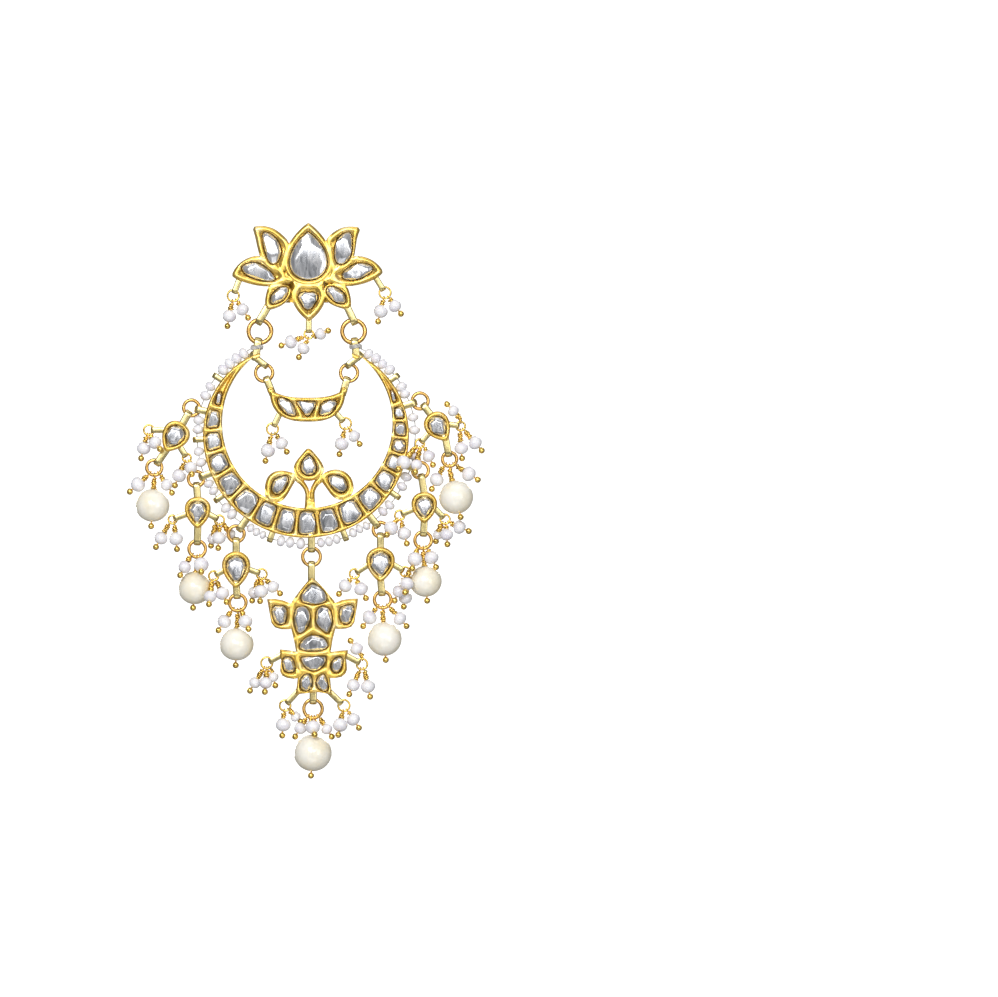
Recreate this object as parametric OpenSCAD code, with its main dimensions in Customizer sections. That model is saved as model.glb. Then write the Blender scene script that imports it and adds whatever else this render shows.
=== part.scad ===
// Chandbali ear drop: a lotus that pins on the ear, two links, a crescent with a boat inside it,
// six pear drops round it and a fish below, with small pearls on head pins.
// It is laid out flat, x to the wearer's front view right and y up, the stones facing +z,
// and stood up at the end so that the stones face -Y. The origin is where the post leaves the lotus.

/* [Settings] */
// Thickness of every setting from its back to its front rim
setting_t = 2.2; // [1.9:0.1:2.6]
// Depth of the pockets that hold the stones
pocket_d = 1.3; // [1:0.1:1.6]
// Height of the stones above the front rim
stone_proud = 0.15; // [0:0.05:0.3]

/* [Crescent] */
// Radius of the round opening
opening_r = 14.2; // [13.8:0.1:14.4]
// Radius of the outer edge at its sides and bottom
crescent_r = 17.15; // [17:0.05:17.4]
// How much nearer the centre the outer edge comes at the tips
tip_pull = 1.25; // [1:0.05:1.4]
// Width of the gold rims and of the bars between the stones
rim_w = 0.45; // [0.35:0.05:0.6]

/* [Wire and pearls] */
// Wire radius of the two main links
main_wire_r = 0.35; // [0.3:0.01:0.36]
// Wire radius of the links and lower rings
link_wire_r = 0.27; // [0.22:0.01:0.28]
// Wire radius of the small jump rings
jump_wire_r = 0.15; // [0.12:0.01:0.16]
// Wire radius of the eyes of the head pins
eye_wire_r = 0.08; // [0.07:0.01:0.1]
// Radius of the straight part of the head pins
shank_r = 0.13; // [0.12:0.01:0.14]
// Radius of the gold bead at the end of a head pin
bead_r = 0.45; // [0.4:0.01:0.48]
// Radius of a seed pearl
seed_r = 0.62; // [0.5:0.02:0.64]

/* [Fastening] */
// Radius of the ear post where the lobe sits
post_r = 0.45; // [0.4:0.01:0.5]
// Length of the ear post
post_l = 11; // [10:0.5:12]
// Space for the ear lobe between lotus and clutch
lobe_gap = 8.2; // [8:0.1:8.6]
// Radius of the clutch's disc
disc_r = 5.4; // [5:0.1:5.5]
// Radius of the omega lever's wire
lever_wire_r = 0.45; // [0.4:0.01:0.5]

/* [Hidden] */
$fn = 32;
mid = setting_t / 2;
// Centres of the crescent's outer edge and of its opening
edge_c = [-0.4, -27.8];
opening_c = [-0.2, -25.8];
// Slack between a link's wire and its bail, and the slack of the small parts
link_slack = 0.2;
small_slack = 0.08;
// Outer radii of the links
main_link_r = 2.25;
boat_link_r = 1.7;
fish_link_r = 1.75;
// Bails: width, and the wall left round their bores
bail_w = 1.1;
small_bail_w = 0.7;
bail_wall = 0.3;
// Main links: centre of each, left and right
main_links = [[-8.1, -10.55], [7.5, -10.55]];
// Where the lotus holds them, and the crescent's tips
lotus_roots = [[-7.0, -6.8], [6.6, -6.8]];
tips = [[-8.75, -14.4], [7.95, -14.4]];
// Boat links: centre, and the corner of the boat that hangs in each
boat_links = [[-7.4, -17.45], [6.75, -17.45]];
boat_corners = [[-6.25, -20.3], [5.9, -20.3]];
boat_roots = [[-9.0, -14.8], [8.3, -14.8]];
// Fish link and the fish's apex
fish_link_c = [0.5, -48.1];
fish_apex = [0.5, -51.6];

// Pear settings: x, y, width, height, lean of the top to the right in degrees
pears = [
    [-22.37, -28.2, 4.5, 5.6, 32], [-18.45, -40.8, 4.3, 5.4, 0], [-12.05, -50.3, 4.7, 6.2, 0],
    [21.7, -26.55, 4.3, 5.4, -32], [19.3, -39.95, 4.3, 5.3, 0], [12, -49.45, 4.8, 5.9, 0]
];
// Upper links of the pears, and lower rings: x, y, outer radius
pear_links = [
    [-19.5, -23.3, 1.58], [-18.75, -35.15, 1.55], [-12.05, -44.3, 1.6],
    [18.6, -22.15, 1.6], [18.65, -33.7, 1.6], [12, -43.6, 1.5]
];
drop_rings = [
    [-25.7, -33.25, 1.53], [-18.55, -46.8, 1.65], [-11.8, -55.75, 1.65],
    [23.5, -31.85, 1.45], [19.1, -45.35, 1.65], [12.35, -55.25, 1.65]
];
// Large pearls: x, y, radius, how far forward, turn of the pin's eye round its ring
large_pearls = [
    [-26, -39.55, 2.86, 0, 0], [-19, -53.3, 2.8, -0.9, 0], [-12, -62.7, 2.88, 0, 0],
    [24.6, -38.2, 2.86, 1.2, 0], [19.5, -52.2, 2.7, -0.9, 0], [12.65, -61.8, 2.9, 0, 0]
];
fish_pearl = [0.7, -80.8, 3.18, 0, 11];
fish_drop_ring = [0.75, -73.45, 1.8];

// Small pearls on the lower rings: x, y, radius, how far forward, turn of the eye
drop_pearls = [
    [[-28.45, -36.05, 1.2, 0, -40], [-23.65, -36.1, 1, 0, 38]],
    [[-20.6, -49.8, 1.05, 0.9, -42], [-17.8, -49.4, 1.2, 1.6, 24]],
    [[-14.05, -58.9, 1.15, 0, -38], [-10.4, -58.85, 1.1, 1.6, 26]],
    [[21.35, -35.25, 1.15, 0, -40], [26.7, -34.3, 1.2, 0, 45]],
    [[17.7, -48.5, 1.2, 1.2, -34], [20.5, -48.25, 1.15, 0.2, 26]],
    [[10.15, -58.2, 1.2, 0, -38], [15.2, -58.4, 1.1, 0, 42]]
];
fish_drop_pearls = [[-1.4, -76.7, 1, 0, -36], [0.77, -76.45, 1.15, 1.65, -11], [3.05, -76.8, 0.92, 0, 36]];

// Clusters on small jump rings. Each row: ring x, y, outer radius, place on the setting that its
// bail starts from, and the pearls as x, y, radius, how far forward, turn of the eye
lotus_clusters = [
    [[-12.55, -4.6, 1.1], [-11.6, -2.1], [[-13.2, -8, 1.1, 0, -11], [-11, -6.9, 1.05, 0, 34]]],
    [[12.75, -4.1, 1.1], [11.2, -1.6], [[12, -7.2, 1.15, 0, -14], [14.4, -6.3, 1.05, 0, 36]]],
    [[0.05, -11, 0.9], [0.05, -8.4],
        [[-2.97, -12.3, 1.08, 0, -62], [-0.87, -13.4, 1.03, 0, -12], [2.05, -11, 0.95, 0.8, 62]]]
];
boat_clusters = [
    [[-6, -26.8, 1.1], [-4.8, -24.3], [[-6.8, -30.4, 1.17, 0, -13], [-4.5, -29.2, 1.05, 0, 32]]],
    [[6.15, -25.9, 1.1], [4.6, -24.2], [[5.5, -29.3, 1.15, 0, -10], [7.6, -28, 1, 0, 34]]]
];
fish_clusters = [
    [[-6.95, -65.8, 1.1], [-4.5, -64.5],
        [[-8.95, -69.1, 0.95, 0, -31], [-7.1, -69.1, 1, 1.05, 0], [-5.95, -68.15, 0.9, -0.3, 31]]],
    [[8.9, -66, 1.05], [6.3, -64.6],
        [[8, -63.4, 1.05, 0, 172], [7.45, -69.5, 1.05, 0, -20], [9.9, -69.7, 1.15, 0, 22]]],
    [[-3.9, -72.9, 1.05], [-2, -70.8], [[-4.25, -76.1, 1.2, 0, -10], [-2.2, -74.75, 0.85, -1, 42]]],
    [[5.9, -72.9, 1.1], [3.7, -70.8], [[5.3, -76.1, 1.2, 1.05, -12], [7.45, -75.2, 1.1, 0, 34]]]
];
pear_clusters = [
    [
        [[-26.6, -27, 1], [-24, -27], [[-27.5, -30.05, 1.1, 0, -22], [-25.5, -29.1, 1.05, 1.05, 14]]],
        [[-20.3, -31.6, 0.85], [-21.4, -29.8],
            [[-21.6, -34.6, 1.15, 0, -26], [-19.55, -33.3, 1, 1.3, 36]]]
    ],
    [
        [[-22.65, -41.9, 0.85], [-20.3, -41],
            [[-24.6, -45, 1.1, 0, -40], [-22.1, -45.1, 1.15, 0, 18]]],
        [[-14.85, -42, 0.95], [-16.6, -41],
            [[-16.1, -45.1, 0.9, -1.9, -40], [-14.95, -44.95, 1.1, 0, 0], [-13.1, -44.3, 0.85, -1.65, 42]]]
    ],
    [
        [[-15.8, -51.3, 0.95], [-14.1, -50.4], [[-16.3, -54.7, 1, 2, -14], [-14.3, -54.2, 1.1, 0.95, 28]]],
        [[-7.8, -51, 1], [-10, -50.2],
            [[-9.1, -54.1, 1, -1.4, -36], [-7.9, -53.9, 1.15, 1, 0], [-5.9, -53.1, 1, 0, 36]]]
    ],
    [
        [[18.55, -29.25, 0.9], [20, -27.6],
            [[15.9, -32.4, 1.15, 2.5, -50], [18.05, -32.8, 0.9, 1.9, -2], [20, -31.3, 1.05, 0, 48]]],
        [[25.35, -26.35, 0.9], [23.2, -26],
            [[24.1, -23.8, 0.95, 0.7, 174], [25.45, -30, 1.1, 0, -6], [27.75, -29.1, 1.1, 0, 42]]]
    ],
    [
        [[15.2, -41.2, 0.95], [17.5, -40.2], [[13.8, -43.35, 1.15, 1.65, -34], [15.95, -44.2, 1.15, 0, 14]]],
        [[22.75, -41.85, 0.95], [21.1, -40.1],
            [[21.55, -44.4, 0.85, -1.5, -40], [23, -44.4, 1.05, 0.3, 6], [25.15, -43.15, 1.1, 0, 54]]]
    ],
    [
        [[7.65, -50.95, 0.95], [9.9, -49.5], [[6.1, -52.95, 1.1, 0, -38], [8.75, -53.45, 1.15, 0, 18]]],
        [[16.1, -50.6, 0.95], [14.1, -49.4],
            [[16.1, -54.95, 1.1, -1.85, 36], [15, -53.9, 1.05, 0, -8], [16.4, -52.6, 1.1, 1.7, 98]]]
    ]
];

// Angles of the bars between the crescent's stones, round the middle of the opening
bars = [158, 171, 184.5, 197.5, 211, 225, 239.5, 252, 264, 276, 288.5, 303, 317, 330, 341, 351, 361.5, 371, 384];
// Plain bails that hold the seed pearls, as heights round the edge from level, left and right
plain_left = [33, -2.5, -36, -71];
plain_right = [33, -34, -69];

// Leaf-shaped cells and plates: both ends, then how far the sides stand out to the left and the
// right of the way from the first end to the second
lotus_petals = [
    [[-9.05, 6.4], [-3.8, -1.4], 3.7, 1.5], [[8.45, 6.5], [3.6, -1.4], 1.4, 3.5],
    [[-12.7, -1], [-3.2, -2.1], 3.5, 1.7], [[12.4, -0.5], [3, -2.1], 1.7, 3.5],
    [[-7.25, -7.2], [-2.2, -2], 2.1, 1.6], [[6.95, -7.2], [2.2, -2], 1.6, 2.1]
];
lotus_cells = [
    [[-7.5, 6], [-4.95, 0.8], 1.5, 0.95], [[6.95, 5.95], [4.9, 0.75], 1.15, 1.4],
    [[-11.45, 0], [-5.9, -2.1], 1.6, 1.1], [[10.7, 0.25], [5.6, -1.6], 1, 1.5],
    [[-6.3, -5.9], [-3.3, -3.3], 1.1, 0.9], [[6.25, -5.75], [3.1, -3.3], 0.9, 1.1]
];
boat_cells = [[[-4.9, -21.9], [-2.3, -24.3], 0.8, 1.1], [[4.7, -21.7], [2.1, -24.3], 1.1, 0.8]];
fish_fins = [
    [[-6.85, -55.3], [-2.9, -60.2], 2.6, 1.5], [[8.05, -55.2], [4.4, -60.1], 1.5, 2.6],
    [[-4.9, -63.6], [-2, -68.3], 1.5, 1.7], [[6.5, -63.6], [3.6, -68.3], 1.7, 1.5]
];
fish_cells = [
    [[-0.8, -56.7], [-1.75, -60.8], 1.2, 1.3], [[2.35, -56.7], [3.05, -60.6], 1.3, 1.1],
    [[-5.5, -56.3], [-4.3, -59.3], 0.9, 1.4], [[6.95, -56], [5.9, -59.3], 1.4, 0.9],
    [[-3.75, -64.8], [-3, -67.1], 0.8, 0.9], [[5.3, -64.9], [4.5, -67.2], 0.9, 0.7],
    [[-0.6, -67.8], [-0.8, -70.3], 0.5, 1], [[2.1, -67.8], [3, -70.2], 1, 0.7]
];

function unit(v) = v / norm(v);
function middle(pts) = [for (k = [0:1]) [for (p = pts) p[k]] * [for (p = pts) 1] / len(pts)];
// An outline drawn in by a gap, towards its middle
function inset(pts, gap) = let (c = middle(pts)) [for (p = pts) p + gap * unit(c - p)];
// A turned point: the top leans to the right by the angle
function turned(p, a, c) = [c.x + p.x * cos(a) + p.y * sin(a), c.y - p.x * sin(a) + p.y * cos(a)];
// Two ends joined by blunt arcs, each side standing out by its own height
function leaf(f, n = 8) =
    let (d = f[1] - f[0], s = [-d.y, d.x] / norm(d))
    concat(
        [for (i = [0:n - 1]) let (t = i / n) f[0] + d * t - s * f[3] * pow(4 * t * (1 - t), 0.75)],
        [for (i = [0:n - 1]) let (t = i / n) f[1] - d * t + s * f[2] * pow(4 * t * (1 - t), 0.75)]
    );
// A drop: point at the top when h is positive, at the bottom when it is negative
function drop(c, w, h, a = 0, n = 24) =
    [for (i = [0:n - 1])
        let (t = 360 * i / n, q = sin(t) * pow(sin(t / 2), 0.7) / 0.822)
        turned([(h > 0 ? -1 : 1) * w / 2 * q, h / 2 * cos(t)], a, c)];
// A rounded triangle, point down when turned by 180
function trillion(c, w, h, a = 0, n = 15) =
    [for (i = [0:n - 1])
        let (t = 360 * i / n + 90, r = 0.85 + 0.15 * cos(3 * (t - 90)))
        turned([w / 2 * 1.1 * r * cos(t), h / 2 * 1.1 * r * sin(t)], a, c)];
// Half of an oval with its flat side down, or up when h is negative
function half_round(c, w, h, n = 12) =
    [for (i = [0:n])
        let (t = h > 0 ? 180 * i / n : 180 * (n - i) / n)
        [c.x + w / 2 * cos(t), c.y + h * (sin(t) - 0.5)]];
// Distance from the middle of the crescent's outer edge, by the height from level
function edge_r(e) = crescent_r - tip_pull * pow(max(e, 0) / 58, 2);
// Point on the outer edge, side -1 left and 1 right, out past it by a distance
function edge_at(side, e, out = 0) = edge_c + (edge_r(e) + out) * [side * cos(e), sin(e)];
// Distance from the middle of the opening to the outer edge at an angle
function outer_r(a) =
    let (u = [cos(a), sin(a)], d = edge_c - opening_c, r = edge_r(asin(sin(a))), k = d.x * u.y - d.y * u.x)
    d * u + sqrt(r * r - k * k);
// A cell of the crescent between two bars, its corners rounded, n points
function crescent_cell(i, n = 16) =
    let (a0 = bars[i], a1 = bars[i + 1], lean = rim_w / 2 / outer_r(a0) * 180 / PI)
    [for (j = [0:n - 1])
        let (
            t = 360 * j / n,
            u = sign(cos(t)) * pow(abs(cos(t)), 0.5), v = sign(sin(t)) * pow(abs(sin(t)), 0.5),
            a = (a0 + a1) / 2 - u * ((a1 - a0) / 2 - lean),
            r0 = opening_r + rim_w, r1 = max(outer_r(a) - rim_w, r0 + 0.25)
        )
        opening_c + ((r0 + r1) / 2 - v * (r1 - r0) / 2) * [cos(a), sin(a)]];
// Where a bail's bore goes on a ring, towards the place the bail starts from
function hole_of(ring, wire, root) =
    let (c = [ring.x, ring.y]) c + (ring[2] - wire - 0.04) * unit(root - c);
// Height round the edge at which a pear's upper link hangs
function link_height(i) = let (d = [pear_links[i].x, pear_links[i].y] - edge_c) atan2(d.y, abs(d.x));

module upright() rotate([90, 0, 0]) children();
module ring(c, r, wire) {
    translate([c.x, c.y, mid]) rotate_extrude() translate([r - wire, 0]) circle(wire);
}
module along(p, dir) {
    translate(p) rotate([0, acos(dir.z / norm(dir)), atan2(dir.y, dir.x)]) children();
}
// A strap from a setting to a bore that a ring's wire passes through; the bore runs across the
// strap, or at an angle of its own
module bail(root, hole, bore, w, wall = bail_wall, turn = undef) {
    dir = root - hole;
    lean = atan2(dir.y, dir.x) - 90;
    translate([hole.x, hole.y, mid]) difference() {
        union() {
            rotate([0, 0, is_undef(turn) ? lean : turn]) rotate([0, 90, 0])
                cylinder(r = bore + wall, h = w, center = true);
            rotate([0, 0, lean]) translate([-w / 2, 0, -bore - wall / 2])
                cube([w, norm(dir) + 0.3, 2 * bore + wall]);
        }
        rotate([0, 0, is_undef(turn) ? lean : turn]) rotate([0, 90, 0])
            cylinder(r = bore, h = 2.2 * w, center = true);
    }
}
module small_bail(ring, root) {
    bail(root, hole_of(ring, jump_wire_r, root), jump_wire_r + 0.17, small_bail_w, 0.2);
}
module link_bail(ring, root) {
    bail(root, hole_of(ring, link_wire_r, root), link_wire_r + link_slack, bail_w);
}
module plate(pts, t = setting_t) linear_extrude(t) polygon(pts);
module pocket(pts) translate([0, 0, setting_t - pocket_d]) linear_extrude(pocket_d + 1) polygon(pts);
// A foil-backed uncut stone: straight sides, a sloped crown and a flat table
module stone(pts) {
    seat = inset(pts, 0.12);
    c = middle(seat);
    n = len(seat);
    low = setting_t - pocket_d + 0.08;
    girdle = setting_t - 0.3;
    top = setting_t + stone_proud;
    crown = [for (p = seat) c + (p - c) * 0.62];
    polyhedron(
        concat(
            [for (p = seat) [p.x, p.y, low]], [for (p = seat) [p.x, p.y, girdle]],
            [for (p = crown) [p.x, p.y, top]]
        ),
        concat(
            [[for (i = [0:n - 1]) i]],
            [for (k = [0:1], i = [0:n - 1])
                let (j = (i + 1) % n) [k * n + i, (k + 1) * n + i, (k + 1) * n + j, k * n + j]],
            [[for (i = [n - 1:-1:0]) 2 * n + i]]
        ),
        convexity = 2
    );
}
// Line of a head pin: start on its eye, direction, and the eye's own place and axis
function pin_line(ring, wire, p) =
    let (
        q = [p.x, p.y, mid + p[3]], a = p[4], rm = ring[2] - wire,
        e = [ring.x + rm * sin(a), ring.y - rm * cos(a), mid], axis = [cos(a), sin(a), 0],
        u = q - e, v = u - (u * axis) * axis, eye_r = wire + small_slack + eye_wire_r,
        k = e + eye_r * unit(v)
    )
    [k, unit(q - k), e, axis, eye_r, q];
module head_pin(ring, wire, p) {
    line = pin_line(ring, wire, p);
    bead = p[2] > 2 ? bead_r + 0.05 : bead_r;
    reach = norm(line[5] - line[0]) + p[2] + 0.08;
    along(line[2], line[3]) rotate_extrude() translate([line[4], 0]) circle(eye_wire_r);
    along(line[0], line[1]) cylinder(r = shank_r, h = reach + bead / 2);
    translate(line[0] + line[1] * (reach + bead)) sphere(bead);
}
module pearl(ring, wire, p) {
    line = pin_line(ring, wire, p);
    along(line[5], line[1]) difference() {
        sphere(p[2]);
        cylinder(r = shank_r + 0.1, h = 3 * p[2], center = true);
    }
}
module cluster_rings(rows) for (c = rows) ring([c[0].x, c[0].y], c[0][2], jump_wire_r);
module cluster_pearls(rows) for (c = rows, p = c[2]) pearl(c[0], jump_wire_r, p);
module cluster_pins(rows) for (c = rows, p = c[2]) head_pin(c[0], jump_wire_r, p);
module cluster_bails(rows) for (c = rows) small_bail(c[0], c[1]);

// Fastening, behind the lotus: the brackets' place across and down, the lever's plane
bracket_x = 2.4;
bracket_w = 1.4;
hinge_y = -4.7;
hinge_z = -7;
rod_r = 0.32;
rod_l = 9.7;
knuckle_r = 0.8;
lever_x = 4;
lever_rise = 5.7;

lotus_middle = drop([0, 2.25], 8.3, 10.5);
lotus_middle_cell = drop([0, 2], 6.4, 8.1);
lotus_lower = drop([0.05, -5.5], 5.6, -6.7);
lotus_lower_cell = trillion([-0.05, -5.3], 3.1, 2.9, 180);

module lotus_setting() color("goldenrod") upright() difference() {
    union() {
        plate(lotus_middle);
        plate(lotus_lower);
        translate([-2.6, -3.6, 0]) cube([5.2, 1.8, setting_t]);
        for (s = [-1, 1]) translate([s * 3.4, -1.6, 0]) cylinder(r = 1, h = setting_t);
        for (f = lotus_petals) plate(leaf(f));
        for (i = [0:1])
            bail(lotus_roots[i], main_links[i] + [0, main_link_r - main_wire_r - 0.04],
                main_wire_r + link_slack, bail_w, bail_wall, 0);
        cluster_bails(lotus_clusters);
        translate([0, 0, 0.3]) mirror([0, 0, 1]) cylinder(r = post_r, h = lobe_gap);
        mirror([0, 0, 1]) cylinder(r = post_r - 0.1, h = post_l);
        for (s = [-1, 1]) {
            translate([s * bracket_x - bracket_w / 2, hinge_y - knuckle_r, hinge_z])
                cube([bracket_w, 2 * knuckle_r, -hinge_z + 0.3]);
            translate([s * bracket_x, hinge_y, hinge_z]) rotate([0, 90, 0])
                cylinder(r = knuckle_r, h = bracket_w, center = true);
        }
        translate([0.2, 6, -0.75]) rotate([0, 90, 0]) cylinder(r = 0.7, h = 1, center = true);
        translate([-0.3, 5.3, -0.75]) cube([1, 1.4, 1]);
    }
    for (f = lotus_cells) pocket(leaf(f));
    pocket(lotus_middle_cell);
    pocket(lotus_lower_cell);
    translate([0, hinge_y, hinge_z]) rotate([0, 90, 0]) cylinder(r = rod_r + 0.05, h = 12, center = true);
    translate([0.2, 6, -0.75]) rotate([0, 90, 0]) cylinder(r = 0.35, h = 3, center = true);
}
module lotus_stones() color("gainsboro") upright() {
    for (f = lotus_cells) stone(leaf(f, 7));
    stone(lotus_middle_cell);
    stone(lotus_lower_cell);
}
module hinge_rod() color("goldenrod") upright() translate([0, hinge_y, hinge_z]) rotate([0, 90, 0]) {
    cylinder(r = rod_r, h = rod_l, center = true);
    for (s = [-1, 1]) translate([0, 0, s * (rod_l / 2 + 0.15)]) cylinder(r = 0.55, h = 0.3, center = true);
}
module omega_lever() color("goldenrod") upright() translate([0, hinge_y, hinge_z]) {
    for (s = [-1, 1]) {
        translate([s * lever_x, 0, 0]) rotate([0, 90, 0]) difference() {
            cylinder(r = knuckle_r, h = 1.4, center = true);
            cylinder(r = rod_r + 0.08, h = 3, center = true);
        }
        translate([s * lever_x, knuckle_r - 0.3, 0]) rotate([-90, 0, 0])
            cylinder(r = lever_wire_r, h = lever_rise - knuckle_r + 0.3);
    }
    translate([0, lever_rise, 0]) rotate_extrude(angle = 180) translate([lever_x, 0]) circle(lever_wire_r);
}
module clutch() color("darkgoldenrod") upright() mirror([0, 0, 1]) difference() {
    union() {
        translate([0, 0, lobe_gap]) cylinder(r1 = disc_r, r2 = disc_r - 1.4, h = 1);
        rotate([0, 0, 45]) translate([-2.3, -1.7, lobe_gap + 0.8]) cube([4.6, 3.4, 2.6]);
    }
    cylinder(r = post_r + 0.02, h = 20);
    rotate([0, 0, 45]) for (s = [-1, 1])
        translate([s * 1.35 - 0.45, -3, lobe_gap + 1.6]) cube([0.9, 6, 1]);
}
module lotus_rings() color("gold") upright() cluster_rings(lotus_clusters);
module lotus_pearls() color("seashell") upright() cluster_pearls(lotus_clusters);
module lotus_pins() color("gold") upright() cluster_pins(lotus_clusters);

bud_top = drop([0.04, -32.77], 5, 5.4);
bud_left = drop([-4.5, -36.2], 4.7, 5.6, 52);
bud_right = drop([4.75, -36.1], 4.7, 5.6, -52);
bud_cells = [
    drop([0.04, -33], 2.9, 3.6, 0, 16), drop([-4.75, -36.15], 3, 3.6, 52, 16),
    drop([4.95, -36], 3, 3.6, -52, 16)
];
module crescent_setting() color("goldenrod") upright() difference() {
    union() {
        difference() {
            plate([for (i = [0:95]) let (a = 3.75 * i) edge_c + edge_r(asin(sin(a))) * [cos(a), sin(a)]]);
            translate([opening_c.x, opening_c.y, -1]) cylinder(r = opening_r, h = setting_t + 2, $fn = 96);
        }
        plate(bud_top);
        plate(bud_left);
        plate(bud_right);
        translate([-0.85, -40.6, 0]) cube([1.7, 3.6, setting_t]);
        for (s = [-1, 1]) translate([0, -38, 0]) rotate([0, 0, -s * 36]) translate([-0.5, -0.3, 0])
            cube([1, 4.2, setting_t]);
        for (i = [0:1]) {
            translate([tips[i].x, tips[i].y, mid - 0.85]) cylinder(r = 0.72, h = 1.7);
            root = tips[i];
            bail(root, hole_of([main_links[i].x, main_links[i].y, main_link_r], main_wire_r, root),
                main_wire_r + link_slack, bail_w);
            bail(boat_roots[i], boat_links[i] + [0, boat_link_r - link_wire_r - 0.04],
                link_wire_r + link_slack, bail_w, bail_wall, 0);
        }
        for (i = [0:5]) {
            side = i < 3 ? -1 : 1;
            link_bail(pear_links[i], edge_at(side, link_height(i), -0.2));
        }
        link_bail([fish_link_c.x, fish_link_c.y, fish_link_r], [fish_link_c.x, -44.8]);
        for (e = plain_left) bail(edge_at(-1, e, -0.2), edge_at(-1, e, 1.1), 0.38, 1);
        for (e = plain_right) bail(edge_at(1, e, -0.2), edge_at(1, e, 1.1), 0.38, 1);
    }
    for (i = [0:17]) pocket(crescent_cell(i));
    for (c = bud_cells) pocket(c);
    for (i = [0:5]) {
        side = i < 3 ? -1 : 1;
        e = link_height(i);
        p = edge_at(side, e, 0.5);
        translate([p.x, p.y, mid]) rotate([0, 0, 90 + side * e]) rotate([0, 90, 0])
            cylinder(r = 0.3, h = 2.4, center = true);
    }
}
module crescent_stones() color("gainsboro") upright() for (i = [0:17]) stone(crescent_cell(i));
module bud_stones() color("gainsboro") upright() for (c = bud_cells) stone(c);
module main_link_left() color("peru") upright() ring(main_links[0], main_link_r, main_wire_r);
module main_link_right() color("peru") upright() ring(main_links[1], main_link_r, main_wire_r);

// A string of seed pearls as one swept skin: thin where its thread passes a bail, full between.
// Each stop: height round the edge, how far out the thread lies there, half length of the thin part
function string_stations(stops) = [
    for (k = [0:len(stops) - 1])
        let (s = stops[k], per_mm = 180 / PI / (crescent_r + 1), near = min(0.7, s[2] - 0.2) * per_mm, far = s[2] * per_mm,
            next = k < len(stops) - 1 ? stops[k + 1] : s, start = s[0] - far, end = next[0] + next[2] * per_mm)
        each concat(
            k == 0 ? [] : [[s[0] + far, 1.1, seed_r], [s[0] + near, s[1], 0.18]],
            k == len(stops) - 1 ? [] : [[s[0] - near, s[1], 0.18]],
            k == len(stops) - 1 ? [] : [for (j = [0:3]) [start + (end - start) * j / 4, 1.1, seed_r]]
        )
];
module sweep_string(side, stations) {
    sides = 8;
    n = len(stations);
    pts = [
        for (s = stations, j = [0:sides - 1])
            let (a = 360 * j / sides, p = edge_at(1, s[0], s[1] + s[2] * cos(a))) [p.x, p.y, mid + s[2] * sin(a)]
    ];
    faces = concat(
        [[for (j = [0:sides - 1]) j]],
        [for (i = [0:n - 2], j = [0:sides - 1])
            let (m = (j + 1) % sides) [i * sides + j, (i + 1) * sides + j, (i + 1) * sides + m, i * sides + m]],
        [[for (j = [sides - 1:-1:0]) (n - 1) * sides + j]]
    );
    translate([edge_c.x, 0, 0]) mirror([side < 0 ? 1 : 0, 0, 0]) translate([-edge_c.x, 0, 0])
        polyhedron(pts, faces, convexity = 6);
}
// Half lengths of the thin parts at plain bails, at link bails and at the fish's bail
thin_plain = 0.95;
thin_link = 1.75;
left_stops = [
    [56, 1.1, 0.4], [plain_left[0], 1.1, thin_plain], [link_height(0), 0.5, thin_link],
    [plain_left[1], 1.1, thin_plain], [link_height(1), 0.5, thin_link], [plain_left[2], 1.1, thin_plain],
    [link_height(2), 0.5, thin_link], [plain_left[3], 1.1, thin_plain], [-93, 1.1, 1.3]
];
right_stops = [
    [56, 1.1, 0.4], [plain_right[0], 1.1, thin_plain], [link_height(3), 0.5, thin_link],
    [-4.3, 0.5, 2.3], [link_height(4), 0.5, thin_link], [plain_right[1], 1.1, thin_plain],
    [link_height(5), 0.5, thin_link], [plain_right[2], 1.1, thin_plain], [-87.2, 1.1, 1.3]
];
module seed_string_left() color("ghostwhite") upright() sweep_string(-1, string_stations(left_stops));
module seed_string_right() color("ghostwhite") upright() sweep_string(1, string_stations(right_stops));

function pear_outline(i) = let (p = pears[i]) drop([p.x, p.y], p[2], -p[3], p[4]);
function pear_cell(i) = let (p = pears[i])
    drop(turned([0, 0.1], p[4], [p.x, p.y]), p[2] - 1.7, -(p[3] - 2.1), p[4], 16);
function pear_end(i, s) = let (p = pears[i]) turned([0, s * (p[3] / 2 - 0.35)], p[4], [p.x, p.y]);
module pear_setting(i) color("goldenrod") upright() difference() {
    union() {
        plate(pear_outline(i));
        link_bail(pear_links[i], pear_end(i, 1));
        link_bail(drop_rings[i], pear_end(i, -0.9));
        cluster_bails(pear_clusters[i]);
    }
    pocket(pear_cell(i));
}
module pear_stones() color("gainsboro") upright() for (i = [0:5]) stone(pear_cell(i));
module pear_link(i) color("peru") upright()
    ring([pear_links[i].x, pear_links[i].y], pear_links[i][2], link_wire_r);
module drop_ring(i) color("peru") upright()
    ring([drop_rings[i].x, drop_rings[i].y], drop_rings[i][2], link_wire_r);
module large_pearl(i) color("ivory") upright() pearl(drop_rings[i], link_wire_r, large_pearls[i]);
module pear_rings() color("gold") upright() for (i = [0:5]) cluster_rings(pear_clusters[i]);
module pear_pearls(from) color("seashell") upright() for (i = [from:from + 2]) {
    cluster_pearls(pear_clusters[i]);
    for (p = drop_pearls[i]) pearl(drop_rings[i], link_wire_r, p);
}
module pear_pins(from) color("gold") upright() for (i = [from:from + 2]) {
    cluster_pins(pear_clusters[i]);
    for (p = drop_pearls[i]) head_pin(drop_rings[i], link_wire_r, p);
    head_pin(drop_rings[i], link_wire_r, large_pearls[i]);
}

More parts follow.
